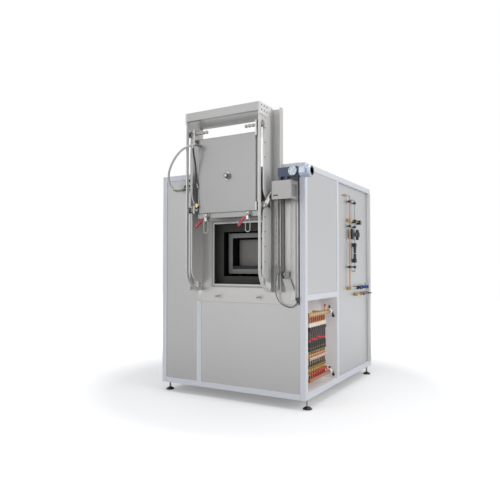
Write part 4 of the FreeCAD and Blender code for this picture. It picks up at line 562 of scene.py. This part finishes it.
# The lifting tower: two slotted guide plates, folded posts and head beams, all ground steel,
# held together with socket screws.
tower_steel = ground_steel("tower_steel", (0.555, 0.55, 0.54), 0.42, metallic=0.5)
# the head beams and the tension bracket take a darker copy of the tower steel, painted shade; the zone
# lightens the right gusset, a painted highlight where the right lamp falls
shaded_steel = ground_steel("shaded_steel", (0.40, 0.395, 0.39), 0.42, metallic=0.6)
zoned(shaded_steel, [((448, -252, 2478), (470, -50, 2592), (0.74, 0.73, 0.72), 0.2)])
# the right guide plate takes a lighter, less metallic copy of the tower steel: painted light
lit_guide_steel = ground_steel("lit_guide_steel", (0.66, 0.655, 0.64), 0.42, metallic=0.2)
dress("left_guide_plate", tower_steel, 0.0012)
dress("right_guide_plate", lit_guide_steel, 0.0012)
dress("tower_posts", tower_steel, 0.0008)
dress("tower_head", shaded_steel, 0.0008)
screw_steel = coat("screw_steel", (0.30, 0.30, 0.30), 0.3, grain=500, metallic=0.9)
socket_head = [(5.6, 0), (6.2, 0.6), (6.2, 5.0), (5.4, 6.0), (3.2, 6.0), (3.0, 3.0)]
# seven screws run up each plate, clear of the slot's upper branch, and seven hold each gusset
screw_y = -157
screw_low = 1252
screw_pitch = 126
bend_z = 1881
bend_clear = 171
gusset_proud = 6
plate_faces = {1: 459, -1: -296}
screws = []
for side, face in plate_faces.items():
    screw = turned("screw", socket_head, place(face, screw_y, screw_low), (side, 0, 0), screw_steel,
                   None, 18)
    up_the_plate = [(0, 0, screw_pitch * step) for step in range(1, 10)
                    if abs(screw_low + screw_pitch * step - bend_z) > bend_clear]
    on_the_gusset = [(side * gusset_proud, y - screw_y, z - screw_low)
                     for y in (-226, -178, -130, -79) for z in (2564, 2524) if y < -85 or z < 2560]
    screws += copied(screw, up_the_plate + on_the_gusset)
screw_set = joined("tower_screws", screws, "cabinet")
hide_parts("guide_screws")

# The raised door: flange and cover in ground steel, axles with rings in plain brackets, rollers,
# the port in the middle and the water fittings at the left edge.
door_steel = ground_steel("door_steel", (0.295, 0.295, 0.295), 0.40)
bright_steel = coat("bright_steel", (0.36, 0.35, 0.34), 0.30, grain=260, metallic=0.85)
dark_steel = coat("dark_steel", (0.16, 0.155, 0.15), 0.35, grain=220, metallic=0.85)
brass = coat("brass", (0.58, 0.40, 0.17), 0.28, grain=200, metallic=0.9, uneven=0.18)
dress("door_panel", door_steel, 0.0008)
dress("roller_brackets", bright_steel, 0.0008)
dress("door_fittings", bright_steel, 0.0008)
for node in ["upper_rollers", "lower_rollers"]:
    dress(node, dark_steel, 0.0006)
# the front plate's left edge covers the mullion below the tower
block("plate_edge_strip", (-352.5, -1.2, 888), (-302, 0.2, 989), 0.4, plate_steel, "cabinet")
turned("port_nut", [(26, 0), (29, 2), (29, 10), (26, 12)], place(109, -206, 2000), (0, -1, 0), dark_steel,
       "door", 6)
turned("port_cap", [(19, 0), (19, 8), (17, 10), (11, 10), (10, 4)], place(109, -220, 2000), (0, -1, 0),
       dark_steel, "door")
turned("drop_nut", [(11, 0), (13, 1.5), (13, 12), (11, 14)], place(-205, -207, 1755), (0.05, 0, 1), brass,
       "door", 6)
turned("drop_collar", [(12, 0), (14, 2), (14, 10), (12, 12)], place(-204, -206, 1750), (0, -1, 0), brass,
       "door", 6)

# The two toggle clamps under the door: plated bases, steel wire bails and plated handles that
# end in ribbed red grips. Each grip is drawn over its handle's round core.
grip_red = coat("grip_red", (0.34, 0.030, 0.040), 0.32, grain=400, relief=0.08)
dress("clamp_bases", zinc, 0.0006)
handle_plate = zoned(coat("handle_plate", (0.50, 0.49, 0.47), 0.30, grain=240, metallic=0.9, uneven=0.10),
                     [((-150, -366, 1528), (350, -249.5, 1628), (0.34, 0.030, 0.040), 0.0)])
handle_slope = math.radians(38)
grip_way = Vector((0, -math.cos(handle_slope), -math.sin(handle_slope)))
grip_rings = [(9, 68), (12.6, 70)]
for rib in range(11):
    grip_rings += [(12.8, 74 + 10 * rib), (11.8, 77 + 10 * rib), (12.8, 80 + 10 * rib)]
grip_rings += [(12.6, 189), (11.0, 195), (6.0, 199.6)]
for side, x in (("left", -113), ("right", 317)):
    dress(side + "_clamp_handle", handle_plate, 0.0005)
    dress(side + "_clamp_bail", bright_steel)
    turned(side + "_clamp_grip", grip_rings, place(x, -197, 1668), grip_way, grip_red,
           side + "_clamp_handle", 20)

# The lifting drive at the right: a light grey motor on a dark blue gear unit, a folded steel
# box under it, then rail, carriage, link, sprockets and cable duct, all bolted to the tower.
gear_blue = coat("gear_blue", (0.045, 0.060, 0.115), 0.40, grain=260, relief=0.2)
motor_grey = coat("motor_grey", (0.50, 0.56, 0.64), 0.35, grain=260, relief=0.15, metallic=0.3)
dress("gearbox", gear_blue, 0.0012)
dress("drive_motor", motor_grey, 0.0008)
box_steel = ground_steel("box_steel", (0.385, 0.375, 0.37), 0.42, metallic=0.4)
dress("drive_box", box_steel, 0.001)
dress("cable_duct", zoned(ground_steel("duct_steel", (0.56, 0.555, 0.545), 0.42, metallic=0.5),
                          [((500, -82, 1130), (556, -54, 1216), (0.24, 0.235, 0.23), 0.3),
                           ((680, -28, 900), (712, 1, 950), (0.03, 0.03, 0.03), 0.0)]), 0.0006)
# cooling grille and cable slot in the drive box; the dark field behind the grille bars is painted shade in
# the vent openings
vent_shade_field = block("vent_shade_field", (696.6, -118, 1800), (698.4, -34, 1894), 0.3, dark_steel, None)
grille_bar = block("grille_bar", (697.6, -112, 1808), (700.0, -40, 1814), 0.6, box_steel, None)
joined("box_grille", [vent_shade_field] + copied(grille_bar, [(0, 0, 14 * step) for step in range(1, 6)]),
       "cabinet")
block("box_slot", (536, -150.8, 1800), (580, -149.4, 1810), 0.2, black_rubber, "cabinet")
dress("tension_bracket", shaded_steel, 0.0006)
dress("lift_link", bright_steel, 0.0008)
bellows = [(13, 20), (16.5, 22)]
for rib in range(8):
    bellows += [(18, 25 + 9 * rib), (16, 29.5 + 9 * rib)]
bellows += [(16.5, 98), (13, 100)]
# the sleeve stands a little right of the link's middle, clear of the plate's screw heads
link_low = place(484.5, -197, 1712)
link_high = place(484.5, -78, 1848)
turned("link_sleeve", bellows, link_low, link_high - link_low, zinc, "door", 24)
for node in ["drive_sprocket", "tension_sprocket"]:
    dress(node, dark_steel, 0.0003)
cover_x = 720.6
cover_z = 1994
turned("gear_cover", [(37, 0), (38, 2), (38, 5), (35, 7), (30, 7), (28, 4), (14, 4), (12, 9), (6, 10)],
       place(cover_x, -162, cover_z), (0, -1, 0), motor_grey, "cabinet", 40)
bolt_angles = [math.radians(60 * step + 30) for step in range(6)]
bolt_spots = [Vector((32.5 * math.cos(angle), 0, 32.5 * math.sin(angle))) for angle in bolt_angles]
bolt = turned("cover_bolt", socket_head, place(cover_x, -168, cover_z) + bolt_spots[0] * MM, (0, -1, 0),
              screw_steel, None, 12)
joined("gear_cover_bolts", copied(bolt, [spot - bolt_spots[0] for spot in bolt_spots[1:]]), "cabinet")
cowl_rings = []
for radius in (40, 30, 20):
    cowl_rings.append(turned("cowl_ring", [(radius, 0), (radius + 2, 0.5), (radius + 2, 2.5), (radius, 3)],
                             place(868, -110, 1990), (1, 0, 0), dark_steel, None, 40))
joined("cowl_grille", cowl_rings, "cabinet")

# The roller chain: pairs of oblong steel plates with a roller at each joint, set along both runs
# and half way round each sprocket.
chain_steel = coat("chain_steel", (0.10, 0.095, 0.09), 0.35, grain=300, metallic=0.8)
pitch = 12.7
chain_radius = pitch / 2 / math.sin(math.pi / 12)
chain_x = 605
chain_y = -105
chain_low = 1143.0
chain_high = 1850.0
run_steps = int((chain_high - chain_low) / pitch)


def chain_link(across):
    # two oblong plates with rounded rims and the roller between them, for one pitch
    plates = []
    for side in (-1, 1):
        bpy.ops.object.select_all(action="DESELECT")
        bpy.ops.mesh.primitive_cylinder_add(vertices=14, radius=5.2 * MM, depth=1.3 * MM)
        plate = bpy.context.object
        bpy.ops.object.mode_set(mode="EDIT")
        bpy.ops.mesh.select_all(action="SELECT")
        bpy.ops.transform.resize(value=(1.0 + pitch / 10.4, 1.0, 1.0))
        bpy.ops.transform.translate(value=(0, 0, side * across * MM))
        bpy.ops.mesh.select_all(action="DESELECT")
        bpy.ops.mesh.select_mode(type="FACE")
        bpy.ops.mesh.select_face_by_sides(number=14)
        bpy.ops.mesh.bevel(offset=0.3 * MM, segments=1, affect="EDGES")
        bpy.ops.object.mode_set(mode="OBJECT")
        plates.append(plate)
    bpy.ops.object.select_all(action="DESELECT")
    bpy.ops.mesh.primitive_cylinder_add(vertices=10, radius=4.0 * MM, depth=2 * across * MM,
                                        location=(pitch / 2 * MM, 0, 0))
    roller = bpy.context.object
    bpy.ops.object.mode_set(mode="EDIT")
    bpy.ops.mesh.select_mode(type="FACE")
    bpy.ops.mesh.select_all(action="DESELECT")
    bpy.ops.mesh.select_face_by_sides(number=10)
    bpy.ops.mesh.inset(thickness=1.6 * MM)
    bpy.ops.object.mode_set(mode="OBJECT")
    link = joined("chain_link", plates + [roller], None)
    pick(link)
    link.rotation_euler = (math.radians(90), 0, math.radians(90))
    bpy.ops.object.transform_apply(location=True, rotation=True, scale=True)
    return link


outer_link = chain_link(4.9)
inner_link = chain_link(3.4)
chain_links = []


def hang_link(y, z, angle, pattern):
    link = pattern.copy()
    link.data = pattern.data.copy()
    bpy.context.scene.collection.objects.link(link)
    link.rotation_euler = (angle, 0, 0)
    link.location = place(chain_x, y, z)
    chain_links.append(link)


for step in range(run_steps):
    pattern = outer_link if step % 2 == 0 else inner_link
    for side in (-1, 1):
        hang_link(chain_y + side * chain_radius, chain_low + pitch * (step + 0.5), math.radians(90), pattern)
for step in range(6):
    pattern = outer_link if step % 2 == 0 else inner_link
    angle = math.pi * (step + 0.5) / 6
    for z, turn in ((chain_high, 1), (chain_low, -1)):
        hang_link(chain_y + chain_radius * math.cos(angle), z + turn * chain_radius * math.sin(angle),
                  turn * angle + math.radians(90), pattern)
bpy.data.objects.remove(outer_link)
bpy.data.objects.remove(inner_link)
chain = joined("roller_chain", chain_links, "cabinet")
bpy.ops.object.transform_apply(location=True, rotation=True, scale=True)
chain.data.materials.clear()
chain.data.materials.append(chain_steel)
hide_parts("lift_chain")

# The water manifold in the open bay: brass bars and fittings, orange columns with white caps,
# dark red flow tubes with black fittings and a float, and red levers on the return side.
rail_brass = coat("rail_brass", (0.52, 0.31, 0.14), 0.32, grain=160, relief=0.2, metallic=0.85, uneven=0.2)
bleached_brass = coat("bleached_brass", (0.62, 0.47, 0.40), 0.45, grain=160, relief=0.2, metallic=0.4)
column_orange = coat("column_orange", (0.36, 0.105, 0.035), 0.38, grain=300)
cap_white = coat("cap_white", (0.80, 0.78, 0.77), 0.40, grain=300)
fitting_black = coat("fitting_black", (0.014, 0.013, 0.013), 0.35, grain=300)
lever_red = coat("lever_red", (0.64, 0.030, 0.036), 0.32, grain=400, relief=0.08)
dress("supply_manifold", rail_brass, 0.0008)
valve_brass = coat("valve_brass", (0.52, 0.34, 0.13), 0.34, grain=160, relief=0.2, metallic=0.8, uneven=0.2)
zoned(valve_brass, [((690, 150, 420), (750, 540, 469), (0.30, 0.13, 0.035), 0.5),
                    ((690, 150, 338), (750, 540, 392), (0.09, 0.065, 0.025), 0.4),
                    ((690, 150, 242), (750, 540, 268), (0.10, 0.055, 0.02), 0.4),
                    ((690, 130, 200), (750, 620, 242), (0.48, 0.17, 0.07), 0.5)])
dress("return_manifold", valve_brass, 0.0008)
dress("flow_meters", fitting_black, 0.0005)
flow_glass = bpy.data.materials.new("flow_glass")
flow_glass.use_nodes = True
glass_nodes = flow_glass.node_tree.nodes
glass_links = flow_glass.node_tree.links
glass_skin = glass_nodes["Principled BSDF"]
glass_skin.inputs["Roughness"].default_value = 0.12
glass_skin.inputs["Transmission Weight"].default_value = 0.35
glass_skin.inputs["IOR"].default_value = 1.45
glass_where = glass_nodes.new("ShaderNodeTexCoord")
glass_marks = glass_nodes.new("ShaderNodeTexWave")
glass_marks.bands_direction = "Z"
glass_marks.inputs["Scale"].default_value = 32.0
glass_marks.inputs["Distortion"].default_value = 0.2
glass_ramp = glass_nodes.new("ShaderNodeValToRGB")
glass_ramp.color_ramp.elements[0].color = (0.085, 0.050, 0.045, 1)
glass_ramp.color_ramp.elements[1].color = (0.20, 0.130, 0.115, 1)
glass_links.new(glass_where.outputs["Object"], glass_marks.inputs["Vector"])
glass_links.new(glass_marks.outputs["Fac"], glass_ramp.inputs["Fac"])
glass_links.new(glass_ramp.outputs["Color"], glass_skin.inputs["Base Color"])
column_x = 720
first_circuit = 175
circuit_pitch = 48.5
bar_z = 405
lever_z = 290
next_circuits = [(0, circuit_pitch * circuit, 0) for circuit in range(1, 8)]


def circuit_row(name, parts, material, shifts=next_circuits):
    # each part is a set of rings and a number of sides, and stands in every circuit
    row = []
    for rings, sides in parts:
        row += copied(turned("circuit_part", rings, place(column_x, first_circuit, 0), (0, 0, 1), material,
                             None, sides), shifts)
    joined(name, row, "cabinet")


circuit_row("manifold_columns", [([(8.6, 722), (9.0, 724), (9.0, 764), (8.6, 766)], 20)], column_orange)
circuit_row("manifold_caps", [([(14.0, 682), (15.6, 684), (15.6, 712), (14.0, 718), (10, 720)], 24)],
            cap_white)
circuit_row("manifold_nuts", [([(18.2, 650), (19.6, 652), (19.6, 679), (18.2, 681)], 10),
                              ([(15.0, 500), (16.2, 502), (16.2, 540), (15.0, 546)], 10),
                              ([(16, 471), (17.4, 473), (17.4, 497), (16, 499)], 10),
                              ([(14.6, 323), (15.6, 325), (15.6, 331), (14.6, 333)], 8)], fitting_black)
circuit_row("manifold_tubes", [([(12.4, 547), (12.4, 651)], 28)], flow_glass)
# every float stands at a level of its own
circuit_row("manifold_floats", [([(12.6, 556), (13.2, 557), (13.2, 571), (12.6, 572)], 20)], lever_red,
            [(0, circuit_pitch * circuit, 3 * (circuit * 5 % 7)) for circuit in range(1, 8)])
circuit_row("manifold_unions", [([(10, 428), (11.5, 430), (11.5, 442), (10, 444)], 6)], rail_brass)
lever_nut = turned("lever_nut", [(5.8, 743), (6.4, 744), (6.4, 747), (5.6, 748)],
                   place(0, first_circuit, lever_z), (1, 0, 0), rail_brass, None, 6)
joined("lever_nuts", copied(lever_nut, next_circuits), "cabinet")
# a red sleeve sits on every lever, which leans off the valve by 25 degrees
sleeve = block("lever_sleeve", (736, first_circuit - 7.6, 258), (746, first_circuit + 7.6, 285), 3,
               lever_red, None)
pick(sleeve)
bpy.ops.transform.rotate(value=math.radians(-25), orient_axis="X",
                         center_override=place(740, first_circuit, lever_z))
bpy.ops.object.transform_apply(location=True, rotation=True, scale=True)
for number, piece in enumerate(copied(sleeve, next_circuits), 1):
    lever = "circuit_lever_" + str(number)
    dress(lever, lever_red, 0.0008)
    piece.name = lever + "_sleeve"
    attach(piece, lever)
# a small red plug in front of every circuit on the middle bar
bar_plug = turned("bar_plug", [(4.6, 733), (5.4, 734), (5.4, 737), (4.4, 738)],
                  place(0, first_circuit, bar_z), (1, 0, 0), lever_red, None, 12)
for plug in copied(bar_plug, next_circuits):
    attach(plug, "cabinet")
# the middle bar and both end valves are pale, and each end valve has a small black knob
turned("middle_sleeve", [(14.5, 157), (15.2, 158), (15.2, 552), (14.5, 553)], place(column_x, 0, bar_z),
       (0, 1, 0), bleached_brass, "cabinet", 28)
valve_y = 651.5
supply_z = 787
return_z = 224
for label, z, radius in (("supply", supply_z, 24.8), ("return", return_z, 23.4)):
    top = z + 46
    turned(label + "_end_body", [(radius - 2, 634), (radius, 636), (radius, 666), (radius - 2, 668)],
           place(column_x, 0, z), (0, 1, 0), cap_white, "cabinet", 32)
    turned(label + "_end_knob", [(9, top - 16), (11, top - 14), (11, top - 3), (8, top)],
           place(column_x, valve_y, 0), (0, 0, 1), fitting_black, "cabinet", 12)
turned("vent_cap", [(8.6, 840), (10.4, 842), (10.4, 858), (8, 862)], place(column_x, 536.5, 0), (0, 0, 1),
       lever_red, "cabinet", 12)
# short hoses run from the end valves into the rear wall of the bay
supply_stub_route = [(720, 668, 787), (720, 693, 785.5), (721, 718, 775), (721, 739, 757), (720, 752, 734)]
return_stub_route = [(720, 668, 224), (720, 694, 223), (721, 719, 213), (721, 739, 195), (720, 752, 171)]
supply_stub, supply_path = soft_line("supply_stub_line", supply_stub_route, 16)
return_stub, return_path = soft_line("return_stub_line", return_stub_route, 16)
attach(supply_stub, "cabinet")
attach(return_stub, "cabinet")
for label, z in (("supply", supply_z), ("return", return_z)):
    turned(label + "_hose_nut", [(11, 664), (13.5, 666), (13.5, 684), (10, 688)], place(column_x, 0, z),
           (0, 1, 0), fitting_black, "cabinet", 6)
    turned(label + "_wall_ring", [(13, 747), (14, 748), (14, 752), (13, 753)], place(column_x, 0, z - 50),
           (0, 1, 0), fitting_black, "cabinet", 24)
green_paint = coat("green_paint", (0.02, 0.16, 0.05), 0.35, grain=300)
turned("end_cap", [(6, 833), (8, 835), (8, 843), (5, 846)], place(column_x, valve_y, 0), (0, 0, 1),
       green_paint, "cabinet", 12)

# The gas panel: a copper line and a steel line held by black clamps, brass tees, black gauge,
# regulators and rotameter, and two rows of valves below.
polished = coat("polished_line", (0.62, 0.62, 0.61), 0.20, grain=220, relief=0.08, metallic=0.95)
valve_blue = coat("valve_blue", (0.020, 0.060, 0.26), 0.35, grain=300)
line_coat = coat("line_metals", (0.34, 0.34, 0.34), 0.30, grain=200, relief=0.1, metallic=0.92)
gas_x = 759
copper_y = 1135
steel_y = 1295
clamp_heights = (1878, 1625, 1204)
regulator_ys = (1209, 1381)
tree = line_coat.node_tree
line_where = tree.nodes.new("ShaderNodeTexCoord")
line_axes = tree.nodes.new("ShaderNodeSeparateXYZ")
line_side = tree.nodes.new("ShaderNodeMath")
line_side.operation = "LESS_THAN"
line_side.inputs[1].default_value = place(0, 1165, 0).y
line_tint = tree.nodes.new("ShaderNodeMix")
line_tint.data_type = "RGBA"
line_tint.blend_type = "MULTIPLY"
line_tint.inputs["B"].default_value = (1.35, 0.78, 0.52, 1)
line_skin = tree.nodes["Principled BSDF"]
line_shade = line_skin.inputs["Base Color"].links[0].from_socket
tree.links.new(line_where.outputs["Object"], line_axes.inputs[0])
tree.links.new(line_axes.outputs["Y"], line_side.inputs[0])
tree.links.new(line_side.outputs[0], line_tint.inputs["Factor"])
tree.links.new(line_shade, line_tint.inputs["A"])
tree.links.new(line_tint.outputs["Result"], line_skin.inputs["Base Color"])
dress("gas_lines", line_coat, 0.0004)
panel_black = (0.013, 0.013, 0.014)
valve_zones = [((730, 1100, z - 13), (790, 1330, z + 13), panel_black, 0.0) for z in clamp_heights]
valve_zones += [((730, y - 25, 1490), (790, y + 25, 1604), panel_black, 0.0) for y in regulator_ys]
valve_zones += [((730, 1270, 1524), (790, 1320, 1566), panel_black, 0.0),
                ((730, 1270, 1662), (790, 1320, 1706), panel_black, 0.0),
                ((730, 1425, 1655), (790, 1485, 1712), panel_black, 0.0),
                ((730, 1270, 1245), (790, 1320, 1460), panel_black, 0.0),
                ((730, 1370, 960), (790, 1462, 1010), panel_black, 0.0),
                ((730, 1700, 890), (850, 1760, 940), panel_black, 0.0),
                ((730, 1500, 960), (790, 1760, 1030), (0.02, 0.06, 0.26), 0.0),
                ((730, 1152, 960), (790, 1330, 1010), (0.62, 0.62, 0.61), 0.9)]
# the panel's edge sheet wraps the rear corner tube, with a return on the side of the valves
block("rear_edge_sheet", (759.6, 1793.6, 141), (761.2, 1845, 2039), 0.4, lit_side_sheet, "cabinet")
# the return is a lighter, less metallic copy of the side sheet: painted light
lit_edge_steel = ground_steel("lit_edge_steel", (0.72, 0.72, 0.72), 0.42, metallic=0.3)
block("rear_edge_return", (736, 1793.2, 141), (760.8, 1794.8, 2039), 0.4, lit_edge_steel, "cabinet")
valve_metals = coat("valve_metals", (0.52, 0.37, 0.17), 0.30, grain=200, metallic=0.88)
dress("gas_valves", zoned(valve_metals, valve_zones), 0.0004)
dress("gas_lever", valve_blue, 0.0008)
clamp_ear = turned("clamp_ear", [(6.4, 736), (7.4, 737), (7.4, 741), (6.4, 742)],
                   place(0, copper_y, clamp_heights[0]), (1, 0, 0), fitting_black, None, 6)
clamp_rib = turned("clamp_rib", [(14.2, -3), (15.0, -2), (15.0, 2), (14.2, 3)],
                   place(gas_x, copper_y, clamp_heights[0]), (0, 0, 1), fitting_black, None, 24)
other_clamps = [(0, y - copper_y, z - clamp_heights[0])
                for y in (copper_y, steel_y) for z in clamp_heights][1:]
joined("clamp_ears", copied(clamp_ear, other_clamps) + copied(clamp_rib, other_clamps), "cabinet")
# gauge with a bezel, and its plain dark dial with a pale pointer
gauge_y = 1455
gauge_z = 1684
turned("gauge_case", [(22, 736), (24, 738), (24, 772), (22.5, 775), (20, 775), (20, 773.4)],
       place(0, gauge_y, gauge_z), (1, 0, 0), fitting_black, "cabinet", 36)
turned("gauge_dial", [(19.8, 773.2), (19.8, 773.9)], place(0, gauge_y, gauge_z), (1, 0, 0),
       coat("dial_grey", (0.10, 0.10, 0.10), 0.4, grain=300), "cabinet", 36)
block("gauge_pointer", (774, gauge_y - 0.6, gauge_z - 3), (774.8, gauge_y + 0.6, gauge_z + 14), 0.3,
      cap_white, "cabinet")
body = turned("regulator_body", [(22, 1523), (25, 1525), (25, 1549), (24, 1551), (24, 1553), (25, 1555),
                                 (25, 1566), (21, 1569), (13.5, 1602)], place(gas_x, regulator_ys[0], 0),
              (0, 0, 1), fitting_black, None, 32)
knob_rings = [(13, 1493), (15.6, 1495)]
for rib in range(5):
    knob_rings += [(15.6, 1497 + 5 * rib), (14.8, 1499 + 5 * rib)]
knob_rings += [(15.6, 1522)]
knob = turned("regulator_knob", knob_rings, place(gas_x, regulator_ys[0], 0), (0, 0, 1), fitting_black,
              None, 20)
for pattern in (body, knob):
    for piece in copied(pattern, [(0, regulator_ys[1] - regulator_ys[0], 0)]):
        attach(piece, "cabinet")
# the rotameter's end blocks, its clear tube with a scale and a float
for z in (1250, 1415):
    block("rotameter_block", (735.5, 1276.5, z), (775, 1313.5, z + 40), 2, fitting_black, "cabinet")
turned("rotameter_tube", [(14.6, 1289), (15.2, 1291), (15.2, 1414), (14.6, 1416)],
       place(gas_x, steel_y, 0), (0, 0, 1), coat("smoked_tube", (0.030, 0.030, 0.032), 0.15, grain=300),
       "cabinet", 28)
turned("rotameter_float", [(12, 1344), (15.5, 1346), (15.5, 1350), (12, 1352)], place(gas_x, steel_y, 0),
       (0, 0, 1), polished, "cabinet", 20)
# hand wheels and bodies of the lower rows
first_y = 1416
first_z = 985
valve_kinds = (
    ("valve_body", [(14, -24), (15.8, -22), (15.8, -8), (15.2, -6), (15.2, 6), (15.8, 8), (15.8, 22),
                    (14, 24)], place(gas_x, first_y, first_z), (0, 1, 0), 24,
     ((1568, 985, valve_blue), (1670, 985, valve_blue), (1529, 915, polished))),
    ("valve_wheel", [(9, 774), (17, 776), (19.4, 779), (19.4, 786), (17, 789), (6, 790)],
     place(0, first_y, first_z), (1, 0, 0), 16, ((1670, 985, valve_blue), (1529, 915, valve_blue))))
for name, rings, spot, axis, sides, others in valve_kinds:
    valves = copied(turned(name, rings, spot, axis, fitting_black, None, sides),
                    [(0, y - first_y, z - first_z) for y, z, material in others])
    for valve, (y, z, material) in zip(valves[1:], others):
        valve.data.materials[0] = material
    for valve in valves:
        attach(valve, "cabinet")

# The water ports at the left are black screwed fittings in the panel. The long hoses and the
# cable are rubber, pale grey, black and dark grey.
dress("water_ports", fitting_black, 0.0008)
yellow_ring = coat("ring_yellow", (0.38, 0.40, 0.06), 0.4, grain=300)
# a black water tube on two stand-offs runs along the top of the left panel, banded yellow-green
turned("water_tube", [(7, 0), (8.5, 1.5), (8.5, 176), (7, 178)], place(-440, -16, 1947), (-1, 0, 0),
       fitting_black, "cabinet", 20)
stand = turned("tube_stand", [(5, 0), (5, 18)], place(-470, 2, 1947), (0, -1, 0), fitting_black, None, 12)
for piece in copied(stand, [(-120, 0, 0)]):
    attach(piece, "cabinet")
band = turned("tube_band", [(8.6, 0), (9.2, 1), (9.2, 10), (8.6, 11)], place(-500, -16, 1947), (-1, 0, 0),
              yellow_ring, None, 20)
joined("tube_bands", copied(band, [(-20, 0, 0), (-60, 0, 0), (-100, 0, 0)]), "cabinet")
grey_rubber = coat("grey_rubber", (0.50, 0.51, 0.51), 0.36, grain=500, relief=0.12)
cable_grey = coat("cable_grey", (0.10, 0.10, 0.10), 0.45, grain=500, relief=0.1)
for hose, material in ((grey_hose, grey_rubber), (black_hose, black_rubber), (cable, cable_grey),
                       (supply_stub, black_rubber), (return_stub, black_rubber)):
    hose.data.materials.clear()
    hose.data.materials.append(material)
